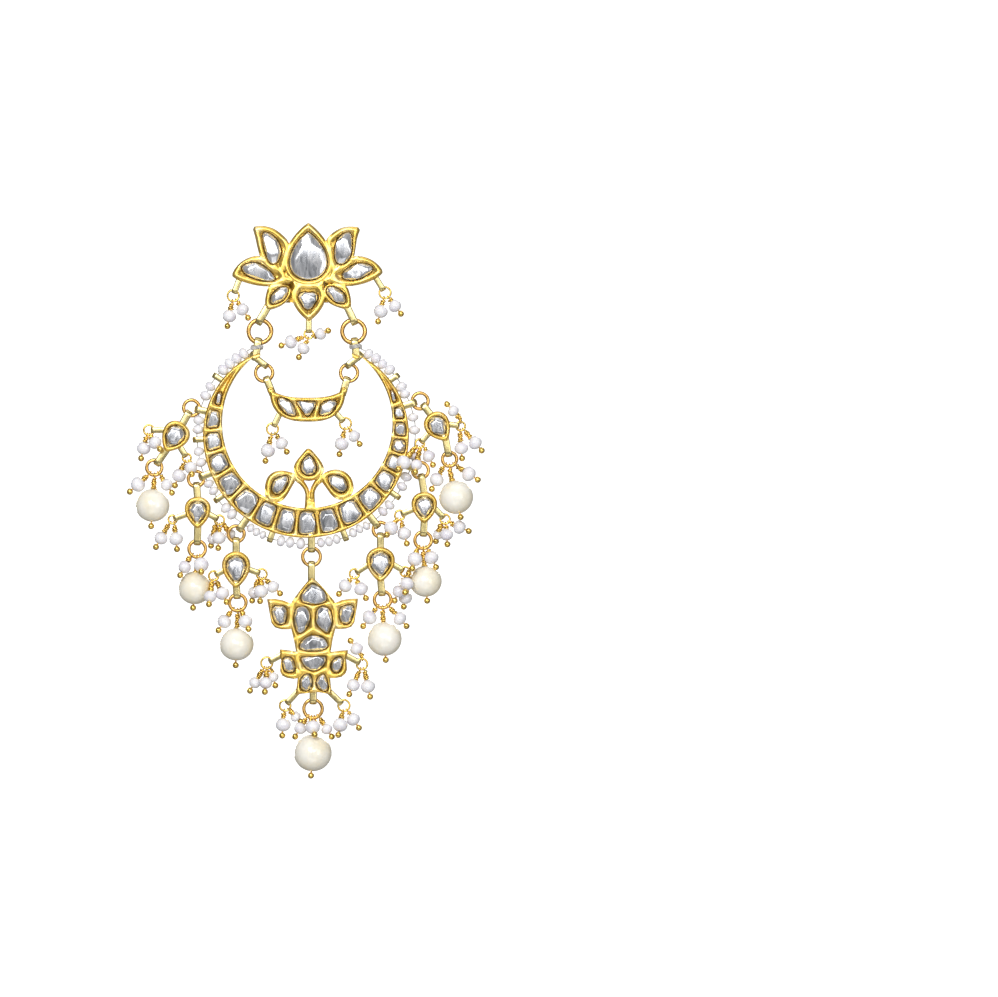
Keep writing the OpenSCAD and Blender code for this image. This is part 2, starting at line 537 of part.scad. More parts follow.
// The boat: a bowl's lower edge and a sagging deck
boat_outline = let (c = [-0.15, -20.1]) concat(
    [for (i = [0:20]) let (t = 180 + 9 * i)
        c + [6.3 * sign(cos(t)) * pow(abs(cos(t)), 0.75), -5.5 * pow(abs(sin(t)), 0.8)]],
    [for (i = [9:-1:-9]) let (x = i / 10) c + [6.3 * x, -1.5 * (1 - pow(abs(x), 3))]]
);
boat_middle_cell = trillion([-0.35, -23.2], 3.1, 2.3, 180);
module boat_setting() color("goldenrod") upright() difference() {
    union() {
        plate(boat_outline);
        for (i = [0:1]) link_bail([boat_links[i].x, boat_links[i].y, boat_link_r], boat_corners[i]);
        for (i = [0:1]) translate([boat_corners[i].x, boat_corners[i].y - 0.1, 0]) cylinder(r = 0.6, h = setting_t);
        cluster_bails(boat_clusters);
    }
    for (f = boat_cells) pocket(leaf(f));
    pocket(boat_middle_cell);
}
module boat_stones() color("gainsboro") upright() {
    for (f = boat_cells) stone(leaf(f, 7));
    stone(boat_middle_cell);
}
module boat_link(i) color("peru") upright() ring(boat_links[i], boat_link_r, link_wire_r);
module boat_rings() color("gold") upright() cluster_rings(boat_clusters);
module boat_pearls() color("seashell") upright() cluster_pearls(boat_clusters);
module boat_pins() color("gold") upright() cluster_pins(boat_clusters);

// The fish: head as half a leaf, a belly that narrows to the tail bar, tail block, and four fins
fish_head = leaf([[0.57, -51.3], [0.8, -62.5], 3.75, 3.75]);
fish_belly = [[-3.05, -57], [-2.95, -59], [-2.3, -64.2], [3.95, -64.2], [4.6, -59], [4.65, -57]];
fish_tail = [[-2.5, -64.3], [-2.4, -65.7], [-1.75, -68.6], [-2.15, -71.1], [0.5, -70.6], [0.95, -70.35], [1.4, -70.6],
    [3.95, -71.1], [3.6, -68.6], [4.2, -65.7], [4.3, -64.3]];
fish_single_cells = [
    trillion([0.8, -54.6], 4.2, 3.4), half_round([0.95, -62.5], 4.5, 2.1), half_round([0.9, -65.85], 4.1, -1.9)
];
module fish_setting() color("goldenrod") upright() difference() {
    union() {
        plate(fish_head);
        plate(fish_belly);
        translate([-2.4, -64.9, 0]) cube([6.5, 1.2, setting_t]);
        plate(fish_tail);
        for (f = fish_fins) plate(leaf(f));
        link_bail([fish_link_c.x, fish_link_c.y, fish_link_r], fish_apex);
        link_bail(fish_drop_ring, [0.8, -70.6]);
        cluster_bails(fish_clusters);
    }
    for (f = fish_cells) pocket(leaf(f));
    for (c = fish_single_cells) pocket(c);
}
module fish_stones() color("gainsboro") upright() {
    for (f = fish_cells) stone(leaf(f, 6));
    for (c = fish_single_cells) stone(c);
}
module fish_link() color("peru") upright() ring(fish_link_c, fish_link_r, link_wire_r);
module fish_rings() color("gold") upright() {
    cluster_rings(fish_clusters);
    ring([fish_drop_ring.x, fish_drop_ring.y], fish_drop_ring[2], link_wire_r);
}
module fish_pearls() color("seashell") upright() {
    cluster_pearls(fish_clusters);
    for (p = fish_drop_pearls) pearl(fish_drop_ring, link_wire_r, p);
}
module fish_large_pearl() color("ivory") upright() pearl(fish_drop_ring, link_wire_r, fish_pearl);
module fish_pins() color("gold") upright() {
    cluster_pins(fish_clusters);
    for (p = fish_drop_pearls) head_pin(fish_drop_ring, link_wire_r, p);
    head_pin(fish_drop_ring, link_wire_r, fish_pearl);
}

lotus_setting();
lotus_stones();
hinge_rod();
lotus_rings();
lotus_pearls();
lotus_pins();
clutch();
omega_lever();
crescent_setting();
crescent_stones();
bud_stones();
main_link_left();
main_link_right();
seed_string_left();
seed_string_right();
for (i = [0:5]) {
    pear_setting(i);
    pear_link(i);
    drop_ring(i);
    large_pearl(i);
}
pear_stones();
pear_rings();
pear_pearls(0);  // pear_pearls_left
pear_pearls(3);  // pear_pearls_right
pear_pins(0);  // pear_pins_left
pear_pins(3);  // pear_pins_right
boat_setting();
boat_stones();
boat_link(0);  // boat_link_left
boat_link(1);  // boat_link_right
boat_rings();
boat_pearls();
boat_pins();
fish_setting();
fish_stones();
fish_link();
fish_rings();
fish_pearls();
fish_large_pearl();
fish_pins();
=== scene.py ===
"""Chandbali ear drop: the looks of a lotus, a crescent with a boat in it, six pear drops and a fish.

Sizes are worked out in millimetres on a flat drawing (x right, y up, z towards the viewer) and are
stood up and turned to metres when a mesh is made.
"""

import bpy
import numpy as np
from bpy.props import FloatProperty, FloatVectorProperty, IntProperty, PointerProperty
from bpy.types import Operator, Panel, PropertyGroup
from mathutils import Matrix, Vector


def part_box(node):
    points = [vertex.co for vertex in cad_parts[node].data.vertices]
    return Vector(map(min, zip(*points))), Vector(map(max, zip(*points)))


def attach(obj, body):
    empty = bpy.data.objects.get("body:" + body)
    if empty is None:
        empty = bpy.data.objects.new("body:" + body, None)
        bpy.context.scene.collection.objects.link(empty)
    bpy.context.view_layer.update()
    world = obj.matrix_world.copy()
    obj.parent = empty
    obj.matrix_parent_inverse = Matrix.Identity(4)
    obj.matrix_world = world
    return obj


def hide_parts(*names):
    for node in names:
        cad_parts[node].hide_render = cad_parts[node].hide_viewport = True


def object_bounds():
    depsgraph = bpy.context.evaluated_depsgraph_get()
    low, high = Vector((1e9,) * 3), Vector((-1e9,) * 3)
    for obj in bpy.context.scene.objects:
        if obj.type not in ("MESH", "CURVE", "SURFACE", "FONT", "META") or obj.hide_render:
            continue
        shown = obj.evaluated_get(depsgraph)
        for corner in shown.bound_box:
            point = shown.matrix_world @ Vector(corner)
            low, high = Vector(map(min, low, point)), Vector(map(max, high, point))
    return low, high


bl_info = {
    "name": "Chandbali ear drop",
    "version": (1, 0, 0),
    "blender": (4, 5, 0),
    "location": "3D View > Sidebar > Chandbali",
    "description": "Dresses a chandbali ear drop: gold settings, uncut stones, enamel, wire and pearls",
    "category": "Object",
}

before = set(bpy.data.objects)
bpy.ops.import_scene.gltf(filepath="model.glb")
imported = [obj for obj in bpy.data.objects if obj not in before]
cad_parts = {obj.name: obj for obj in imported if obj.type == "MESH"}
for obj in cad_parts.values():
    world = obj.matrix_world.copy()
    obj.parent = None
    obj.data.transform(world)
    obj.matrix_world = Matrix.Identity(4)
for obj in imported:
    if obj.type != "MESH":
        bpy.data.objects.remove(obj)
cad_low, cad_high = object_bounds()
MM = 0.001
# Box of the lowest, largest pearl, from the frame
PEARL_LOW, PEARL_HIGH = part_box("fish_large_pearl")

# ---------------------------------------------------------------- the drawing's numbers, millimetres
# Plate, depth of a stone's pocket, how far a stone stands out, middle of the plate
THICK, POCKET, PROUD = 2.2, 1.3, 0.15
MID = THICK / 2
# Crescent: radius of opening and edge, how far the edge draws in at its tips, their height, a bar's width
OPEN_R, EDGE_R, TIP_PULL, TIP_HEIGHT, RIM = 14.2, 17.15, 1.25, 58, 0.45
# Radii of wires, shank, bead, post and disc; room for the lobe; radii of the links
MAIN_WIRE, LINK_WIRE, JUMP_WIRE, EYE_WIRE = 0.35, 0.27, 0.15, 0.08
SHANK, BEAD = 0.13, 0.45
POST_R, LOBE, DISC_R = 0.45, 8.2, 5.4
MAIN_R, BOAT_R, FISH_R = 2.25, 1.7, 1.75
# A pearl of more than this radius is a large one
LARGE_R = 2
# Play of a bore round its wire, how far the bore sits inside the ring, and a strap's foot inside the edge
SLACK, SMALL_SLACK, JUMP_SLACK, INSET, SUNK = 0.2, 0.08, 0.17, 0.04, -0.2
WIDE_STRAP_W, STRAP_W, SMALL_STRAP_W, STRAP_WALL, SMALL_STRAP_WALL = 1.25, 1.1, 0.7, 0.3, 0.22
# Ground of the gold beside the stones, power that rounds its rolls, depth of the enamel behind
GOLD_GROUND, ROLL_POWER, ENAMEL_DEEP = 1.72, 0.7, 0.04
# Brackets of the lever: how far left and right, and their height
BRACKET_X, BRACKET_Y = 2.4, -4.7
# Stands for any distance too long to matter
FAR = 9.0
# Middles of the outer edge's circle and of the opening, then links, tips and feet of straps
EDGE_C, OPEN_C = np.array([-0.4, -27.8]), np.array([-0.2, -25.8])
MAIN_LINKS = [[-8.1, -10.55], [7.5, -10.55]]
LOTUS_ROOTS = [[-7.0, -6.8], [6.6, -6.8]]
TIPS = [[-8.75, -14.4], [7.95, -14.4]]
BOAT_LINKS = [[-7.4, -17.45], [6.75, -17.45]]
BOAT_CORNERS = [[-6.25, -20.3], [5.9, -20.3]]
BOAT_ROOTS = [[-9.0, -14.8], [8.3, -14.8]]
FISH_LINK, FISH_APEX = [0.5, -48.1], [0.5, -51.6]
# Pears: x, y, width, height, lean; upper links and lower rings: x, y, outer radius
PEARS = [
    [-22.37, -28.2, 4.5, 5.6, 32], [-18.45, -40.8, 4.3, 5.4, 0], [-12.05, -50.3, 4.7, 6.2, 0],
    [21.7, -26.55, 4.3, 5.4, -32], [19.3, -39.95, 4.3, 5.3, 0], [12, -49.45, 4.8, 5.9, 0],
]
PEAR_LINKS = [
    [-19.5, -23.3, 1.58], [-18.75, -35.15, 1.55], [-12.05, -44.3, 1.6],
    [18.6, -22.15, 1.6], [18.65, -33.7, 1.6], [12, -43.6, 1.5],
]
DROP_RINGS = [
    [-25.7, -33.25, 1.53], [-18.55, -46.8, 1.65], [-11.8, -55.75, 1.65],
    [23.5, -31.85, 1.45], [19.1, -45.35, 1.65], [12.35, -55.25, 1.65],
]
# Pearls: x, y, radius, how far forward, turn of the pin's eye round its ring
LARGE_PEARLS = [
    [-26, -39.55, 2.86, 0, 0], [-19, -53.3, 2.8, -0.9, 0], [-12, -62.7, 2.88, 0, 0],
    [24.6, -38.2, 2.86, 1.2, 0], [19.5, -52.2, 2.7, -0.9, 0], [12.65, -61.8, 2.9, 0, 0],
]
FISH_PEARL, FISH_RING = [0.7, -80.8, 3.18, 0, 11], [0.75, -73.45, 1.8]
DROP_PEARLS = [
    [[-28.45, -36.05, 1.2, 0, -40], [-23.65, -36.1, 1, 0, 38]],
    [[-20.6, -49.8, 1.05, 0.9, -42], [-17.8, -49.4, 1.2, 1.6, 24]],
    [[-14.05, -58.9, 1.15, 0, -38], [-10.4, -58.85, 1.1, 1.6, 26]],
    [[21.35, -35.25, 1.15, 0, -40], [26.7, -34.3, 1.2, 0, 45]],
    [[17.7, -48.5, 1.2, 1.2, -34], [20.5, -48.25, 1.15, 0.2, 26]],
    [[10.15, -58.2, 1.2, 0, -38], [15.2, -58.4, 1.1, 0, 42]],
]
FISH_DROPS = [[-1.4, -76.7, 1, 0, -36], [0.77, -76.45, 1.15, 1.65, -11], [3.05, -76.8, 0.92, 0, 36]]


def clusters(text):
    """Clusters of small pearls, parted by semicolons: x, y and outer radius of the jump ring, root of
    its strap, then its pearls. Each pear has two clusters."""
    rows = [[[float(v) for v in bit.split()] for bit in row.split(",")] for row in text.split(";")]
    return [[row[0], row[1], row[2:]] for row in rows]


LOTUS_CLUSTERS = clusters("""
    -12.55 -4.6 1.1, -11.6 -2.1, -13.2 -8 1.1 0 -11, -11 -6.9 1.05 0 34;
    12.75 -4.1 1.1, 11.2 -1.6, 12 -7.2 1.15 0 -14, 14.4 -6.3 1.05 0 36;
    0.05 -11 0.9, 0.05 -8.4, -2.97 -12.3 1.08 0 -62, -0.87 -13.4 1.03 0 -12, 2.05 -11 0.95 0.8 62""")
BOAT_CLUSTERS = clusters("""
    -6 -26.8 1.1, -4.8 -24.3, -6.8 -30.4 1.17 0 -13, -4.5 -29.2 1.05 0 32;
    6.15 -25.9 1.1, 4.6 -24.2, 5.5 -29.3 1.15 0 -10, 7.6 -28 1 0 34""")
FISH_CLUSTERS = clusters("""
    -6.95 -65.8 1.1, -4.5 -64.5, -8.95 -69.1 0.95 0 -31, -7.1 -69.1 1 1.05 0, -5.95 -68.15 0.9 -0.3 31;
    8.9 -66 1.05, 6.3 -64.6, 8 -63.4 1.05 0 172, 7.45 -69.5 1.05 0 -20, 9.9 -69.7 1.15 0 22;
    -3.9 -72.9 1.05, -2 -70.8, -4.25 -76.1 1.2 0 -10, -2.2 -74.75 0.85 -1 42;
    5.9 -72.9 1.1, 3.7 -70.8, 5.3 -76.1 1.2 1.05 -12, 7.45 -75.2 1.1 0 34""")
PEAR_CLUSTERS = clusters("""
    -26.6 -27 1, -24 -27, -27.5 -30.05 1.1 0 -22, -25.5 -29.1 1.05 1.05 14;
    -20.3 -31.6 0.85, -21.4 -29.8, -21.6 -34.6 1.15 0 -26, -19.55 -33.3 1 1.3 36;
    -22.65 -41.9 0.85, -20.3 -41, -24.6 -45 1.1 0 -40, -22.1 -45.1 1.15 0 18;
    -14.85 -42 0.95, -16.6 -41, -16.1 -45.1 0.9 -1.9 -40, -14.95 -44.95 1.1 0 0, -13.1 -44.3 0.85 -1.65 42;
    -15.8 -51.3 0.95, -14.1 -50.4, -16.3 -54.7 1 2 -14, -14.3 -54.2 1.1 0.95 28;
    -7.8 -51 1, -10 -50.2, -9.1 -54.1 1 -1.4 -36, -7.9 -53.9 1.15 1 0, -5.9 -53.1 1 0 36;
    18.55 -29.25 0.9, 20 -27.6, 15.9 -32.4 1.15 2.5 -50, 18.05 -32.8 0.9 1.9 -2, 20 -31.3 1.05 0 48;
    25.35 -26.35 0.9, 23.2 -26, 24.1 -23.8 0.95 0.7 174, 25.45 -30 1.1 0 -6, 27.75 -29.1 1.1 0 42;
    15.2 -41.2 0.95, 17.5 -40.2, 13.8 -43.35 1.15 1.65 -34, 15.95 -44.2 1.15 0 14;
    22.75 -41.85 0.95, 21.1 -40.1, 21.55 -44.4 0.85 -1.5 -40, 23 -44.4 1.05 0.3 6, 25.15 -43.15 1.1 0 54;
    7.65 -50.95 0.95, 9.9 -49.5, 6.1 -52.95 1.1 0 -38, 8.75 -53.45 1.15 0 18;
    16.1 -50.6 0.95, 14.1 -49.4, 16.1 -54.95 1.1 -1.85 36, 15 -53.9 1.05 0 -8, 16.4 -52.6 1.1 1.7 98""")
# Angles of the bars between the crescent's stones, and heights of the plain straps round its edge
BARS = [158, 171, 184.5, 197.5, 211, 225, 239.5, 252, 264, 276, 288.5, 303, 317,
        330, 341, 351, 361.5, 371, 384]
PLAIN_LEFT, PLAIN_RIGHT = [33, -2.5, -36, -71], [33, -34, -69]


# ---------------------------------------------------------------- outlines
def around(n):
    """Angles of n even steps round a circle."""
    return 2 * np.pi * np.arange(n) / n


def ray(a):
    """Directions at angles in radians."""
    return np.stack((np.cos(a), np.sin(a)), -1)


def blunt(v, power):
    """Sizes raised to a power, their signs kept."""
    return np.sign(v) * np.abs(v) ** power


def unit(v):
    """A direction of length one."""
    v = np.asarray(v, float)
    return v / np.linalg.norm(v, axis=-1, keepdims=True)


def turned(x, y, lean, middle):
    """Points turned so that their top leans right by an angle, then moved to a middle."""
    a = np.radians(lean)
    return np.column_stack((middle[0] + x * np.cos(a) + y * np.sin(a),
                            middle[1] - x * np.sin(a) + y * np.cos(a)))


def placed(x, y, lean, middle):
    """One point, turned and moved in the same way."""
    return turned(np.array([x]), np.array([y]), lean, middle)[0]


def leaf(start, end, left, right, n=22):
    """Two ends joined by blunt arcs: each side stands out by its height times (4 t (1 - t)) ^ 0.75."""
    p, q = np.array(start, float), np.array(end, float)
    d = q - p
    s = np.array([-d[1], d[0]]) / np.hypot(*d)
    t = (np.arange(n) / n)[:, None]
    bow = (4 * t * (1 - t)) ** 0.75
    return np.vstack((p + d * t - s * right * bow, q - d * t + s * left * bow))


def drop(middle, w, h, lean=0, n=60):
    """A drop: the half width is sin t times sin(t / 2) ^ 0.7 over its peak, 0.822, and the height
    cos t; point up if h > 0."""
    t = around(n)
    q = np.sin(t) * np.sin(t / 2) ** 0.7 / 0.822
    return turned((-1 if h > 0 else 1) * w / 2 * q, h / 2 * np.cos(t), lean, middle)


def trillion(middle, w, h, lean=0, n=45):
    """A rounded triangle: a circle whose radius swings three times a turn by 15 percent."""
    t = around(n) + np.pi / 2
    r = 0.85 + 0.15 * np.cos(3 * (t - np.pi / 2))
    return turned(w / 2 * 1.1 * r * np.cos(t), h / 2 * 1.1 * r * np.sin(t), lean, middle)


def edge_r(e):
    """Radius of the crescent's outer edge at a height in degrees from level: less near the tips."""
    return EDGE_R - TIP_PULL * (np.maximum(e, 0) / TIP_HEIGHT) ** 2


def edge_at(side, e, out=0.0):
    """Point on the outer edge, side -1 left and 1 right, out past it by a distance."""
    a = np.radians(e)
    r = edge_r(np.asarray(e, float)) + out
    return np.stack(np.broadcast_arrays(EDGE_C[0] + r * side * np.cos(a), EDGE_C[1] + r * np.sin(a)), -1)


def outer_r(a):
    """Distance from the opening's middle to the outer edge at an angle in radians."""
    u = ray(a)
    d = EDGE_C - OPEN_C
    r = edge_r(np.degrees(np.arcsin(np.sin(a))))
    k = d[0] * u[..., 1] - d[1] * u[..., 0]
    return u @ d + np.sqrt(r * r - k * k)


def crescent_cell(i, n=48):
    """A cell between two bars: a four-sided shape with rounded corners, bent round the opening."""
    a0, a1 = BARS[i], BARS[i + 1]
    lean = np.degrees(RIM / 2 / outer_r(np.radians(a0)))
    u, v = blunt(ray(around(n)), 0.5).T
    a = np.radians((a0 + a1) / 2 - u * ((a1 - a0) / 2 - lean))
    r0 = OPEN_R + RIM
    r1 = np.maximum(outer_r(a) - RIM, r0 + 0.25)
    r = (r0 + r1) / 2 - v * (r1 - r0) / 2
    return OPEN_C + r[:, None] * ray(a)


def round_crescent(degrees, r, side=1):
    """A place round the opening: degrees from straight down towards a side, and a radius."""
    a = np.radians(degrees)
    return [OPEN_C[0] + side * r * np.sin(a), OPEN_C[1] - r * np.cos(a)]


def hole_of(hoop, wire, root):
    """Where a strap's bore lies on a ring, towards the place the strap starts from."""
    c = np.array(hoop[:2], float)
    return c + (hoop[2] - wire - INSET) * unit(np.array(root) - c)


def link_height(i):
    """Height round the edge at which a pear's upper link hangs."""
    d = np.array(PEAR_LINKS[i][:2]) - EDGE_C
    return np.degrees(np.arctan2(d[1], abs(d[0])))


def rounded(points, times):
    """A polygon whose corners are cut at a quarter of each side, again and again."""
    for _ in range(times):
        ahead = np.roll(points, -1, 0)
        points = np.stack((0.75 * points + 0.25 * ahead, 0.25 * points + 0.75 * ahead), 1).reshape(-1, 2)
    return points


def outlines(sheet, times, text):
    """Outlines read off an enlarged drawing, as x,y pairs with y down, parted by semicolons. The sheet
    gives its scale to the millimetre and its corner."""
    scale, corner = sheet
    found = [np.array([pair.split(",") for pair in line.split()], float) for line in text.split(";")]
    return [rounded(p / scale * [1, -1] + corner, times) for p in found]


LOTUS_MIDDLE, LOTUS_MIDDLE_CELL = drop([0, 2.25], 8.3, 10.5), drop([0, 2], 6.4, 8.1)
LOTUS_LOWER, LOTUS_LOWER_CELL = drop([0.05, -5.5], 5.6, -6.7), trillion([-0.05, -5.3], 3.1, 2.9, 180)
FISH_MIDDLE = 0.75
LOTUS_SHEET, FISH_SHEET = (30, (-13.083, 8.833)), (36, (-9.75, -47.83))
BUD_SHEET, BOAT_SHEET = (42, (-10.583, -28.667)), (42, (-10.583, -12.0))


LOTUS_PETALS = outlines(LOTUS_SHEET, 1, """
    178,478 175,430 183,385 198,350 250,343 305,360 305,400 285,432 250,457 215,470;
    602,474 560,468 510,450 480,427 468,370 488,343 545,343 587,355 602,400 607,440;
    112,60 150,54 190,58 228,72 262,98 292,128 305,180 285,240 265,305 222,276 178,243 152,215 138,165
    127,112;
    655,62 600,57 560,63 525,81 493,108 476,138 476,190 498,250 518,295 560,266 602,238 621,207 629,160
    636,110;
    8,302 28,262 68,225 120,204 170,208 215,235 270,275 300,340 245,350 185,358 120,350 65,334 25,318;
    768,282 740,245 700,218 650,204 600,210 560,236 505,275 480,330 530,350 590,357 650,348 705,330
    750,305""")
LOTUS_CELLS = outlines(LOTUS_SHEET, 3, """
    200,450 204,408 222,382 255,358 292,358 294,388 276,420 246,440;
    580,446 530,440 498,412 480,386 486,357 522,357 564,382 580,410;
    160,82 195,88 227,110 250,145 260,180 250,218 226,252 197,241 183,206 166,160;
    611,82 570,89 543,110 528,145 521,190 526,231 548,251 578,243 604,213 613,170;
    50,262 92,236 142,240 184,263 220,300 232,330 180,332 128,322 80,300;
    722,260 676,239 628,244 586,265 558,297 566,323 612,330 664,314 706,290""")
BUD_PEARS = outlines(BUD_SHEET, 2, """
    445,45 500,105 542,160 556,210 532,255 490,280 445,288 400,278 360,250 338,205 352,155 398,100;
    362,238 300,218 250,211 198,222 158,257 141,310 139,362 146,405 176,432 222,438 264,424 296,385
    326,330 355,280;
    526,262 556,228 600,209 650,204 702,220 744,260 760,310 760,352 738,396 700,419 648,418 606,388
    570,335 536,290""")
BUD_ARMS = outlines(BUD_SHEET, 1, """
    330,236 375,246 418,290 450,345 458,420 425,430 423,365 395,318 350,285;
    560,240 515,250 482,292 455,345 450,420 482,430 486,365 508,320 548,288""")
BUD_STEM, = outlines(BUD_SHEET, 0, """
    424,360 486,360 488,420 494,495 416,495 422,420""")
BUD_CELLS = outlines(BUD_SHEET, 3, """
    446,96 474,122 496,160 505,205 485,240 455,248 418,242 394,215 390,175 414,128;
    305,248 262,250 222,263 191,300 183,345 203,378 243,380 280,345 304,296;
    584,248 640,243 688,257 717,300 717,347 682,371 638,360 605,322 580,280""")
BOAT_CELLS = outlines(BOAT_SHEET, 2, """
    226,398 290,408 340,446 366,533 318,533 270,503 236,462;
    540,428 652,416 630,484 593,526 517,533 526,478""")
BOAT_MIDDLE_CELL, = outlines(BOAT_SHEET, 2, """
    345,425 428,430 512,427 478,492 440,548 400,492""")
FISH_BODY, = outlines(FISH_SHEET, 0, """
    372,132 345,158 318,190 290,226 262,264 246,292 240,330 240,395 250,450 264,505 274,560 280,598
    482,598 487,560 496,505 510,450 524,395 528,330 518,298 500,268 468,230 436,192 404,158""")
FISH_UPPER = outlines(FISH_SHEET, 0, """
    103,264 150,263 200,272 262,296 262,438 232,445 190,445 152,434 130,408 118,345 110,300;
    648,261 600,262 550,270 500,292 500,440 540,444 580,440 608,430 626,405 636,345 644,300""")
FISH_LOWER = outlines(FISH_SHEET, 0, """
    180,566 235,572 300,584 300,736 262,742 222,736 194,722 182,698 184,660 188,630 180,600;
    588,570 530,574 470,584 470,736 510,738 550,730 572,712 582,688 580,650 576,620 586,590""")
FISH_BLOCK, = outlines(FISH_SHEET, 0, """
    274,580 488,580 486,660 480,735 486,790 493,838 450,828 412,822 376,824 340,828 305,832 273,838
    282,780 288,730 282,660""")
FISH_STONES = outlines(FISH_SHEET, 3, """
    378,166 345,184 306,238 306,282 350,293 404,294 452,286 466,262 456,226 414,184;
    270,322 302,303 340,306 364,348 364,396 336,448 300,476 278,456 262,396;
    404,320 440,300 480,320 497,370 493,416 472,474 438,456 400,418 392,368;
    292,548 322,498 362,480 404,478 446,494 474,538 462,560 420,574 350,576 304,566;
    300,610 340,608 420,607 464,606 454,646 424,684 386,698 348,688 316,652;
    134,306 180,297 220,312 225,360 210,414 180,420 148,402 132,350;
    538,316 580,297 626,299 624,350 606,400 580,420 550,406 534,364;
    194,616 236,604 268,636 275,694 242,708 206,696 194,660;
    490,640 518,608 562,610 556,662 534,708 498,702 484,670;
    303,735 335,710 366,714 379,760 363,806 335,820 298,800;
    404,734 430,710 452,714 468,770 473,812 440,820 406,796 395,760""")
# Enamel fields of the fish's back in millimetres: head, body, tail
FISH_FIELDS = outlines((1, (FISH_MIDDLE, 0)), 0, """
    0,52.2 1.5,53.5 2.6,55.2 2.95,56.9 2.7,57.7 1.5,58.4 0,58.7 -1.5,58.4 -2.7,57.7 -2.95,56.9 -2.6,55.2
    -1.5,53.5;
    3.15,57.9 3.0,60.5 2.65,64 1.9,66.2 0.9,67.2 0,67.45 -0.9,67.2 -1.9,66.2 -2.65,64 -3.0,60.5 -3.15,57.9
    -1.6,58.75 0,59.05 1.6,58.75;
    -2.5,66.3 -1.7,67.1 -0.9,67.55 0,67.8 0.9,67.55 1.7,67.1 2.5,66.3 2.35,68.4 2.65,70.75 0.9,70.1 0,69.6
    -0.9,70.1 -2.65,70.75 -2.35,68.4""")


def pear_cell(i):
    """The stone's opening in a pear."""
    x, y, w, h, lean = PEARS[i]
    rim_w, rim_h, wider = 1.7, 2.1, 0.14
    return grown(drop(placed(0, 0.1, lean, [x, y]), w - rim_w, -(h - rim_h), lean), wider)


def pear_end(i, s):
    """A place near the pear's top (s = 1) or point (s = -1)."""
    x, y, _, h, lean = PEARS[i]
    return placed(0, s * (h / 2 - 0.35), lean, [x, y])


def boat_outline():
    """A bowl's lower edge, a flattened oval, and a deck that sags by 1.5 mm."""
    c, half = np.array([-0.15, -20.1]), 6.3
    t = np.radians(180 + 3 * np.arange(61))
    low = np.column_stack((half * blunt(np.cos(t), 0.75), -5.5 * np.abs(np.sin(t)) ** 0.8))
    x = np.arange(27, -28, -1) / 30
    return np.vstack((c + low, c + np.column_stack((half * x, -1.5 * (1 - np.abs(x) ** 3)))))


BOAT_OUTLINE = boat_outline()


# ---------------------------------------------------------------- distances and surfaces
def from_line(places, line, closed=True):
    """Distance from places to a polygon, below zero inside, or to an open line."""
    a = line if closed else line[:-1]
    e = (np.roll(line, -1, 0) if closed else line[1:]) - a
    w = places[:, None] - a[None]
    t = np.clip((w * e).sum(-1) / (e * e).sum(-1), 0, 1)
    far = np.sqrt(((w - t[..., None] * e) ** 2).sum(-1).min(1))
    if not closed:
        return far
    b = a + e
    above = (a[None, :, 1] > places[:, None, 1]) != (b[None, :, 1] > places[:, None, 1])
    x = a[:, 0] + e[:, 0] * (places[:, None, 1] - a[:, 1]) / np.where(e[:, 1] == 0, 1e-9, e[:, 1])
    inside = (above & (places[:, None, 0] < x)).sum(1) % 2 == 1
    return np.where(inside, -far, far)


def distance(places, line, closed=True, reach=1.6):
    """As from_line, worked out only near the line and set to a far value elsewhere."""
    line = np.asarray(line, float)
    low, high = line.min(0) - reach, line.max(0) + reach
    near = ((places > low) & (places < high)).all(1)
    out = np.full(len(places), FAR)
    if near.any():
        out[near] = from_line(places[near], line, closed)
    return out


def grown(line, out):
    """An outline moved out by a distance, square to its own run."""
    line = np.asarray(line, float)
    ahead = unit(np.roll(line, -1, 0) - np.roll(line, 1, 0) + 1e-9)
    side = np.column_stack((ahead[:, 1], -ahead[:, 0]))
    area = (line[:, 0] * np.roll(line[:, 1], -1) - np.roll(line[:, 0], -1) * line[:, 1]).sum()
    return line + side * out * np.sign(area)


def union(*lines):
    """A function that gives the distance to several outlines taken together."""
    return lambda places: np.min([distance(places, line) for line in lines], axis=0)


def upright(flat):
    """Stands the drawing up: its z faces the viewer, which is -Y, and its y becomes height."""
    flat = np.asarray(flat, float).reshape(-1, 3)
    return np.column_stack((flat[:, 0], -flat[:, 2], flat[:, 1])) * MM


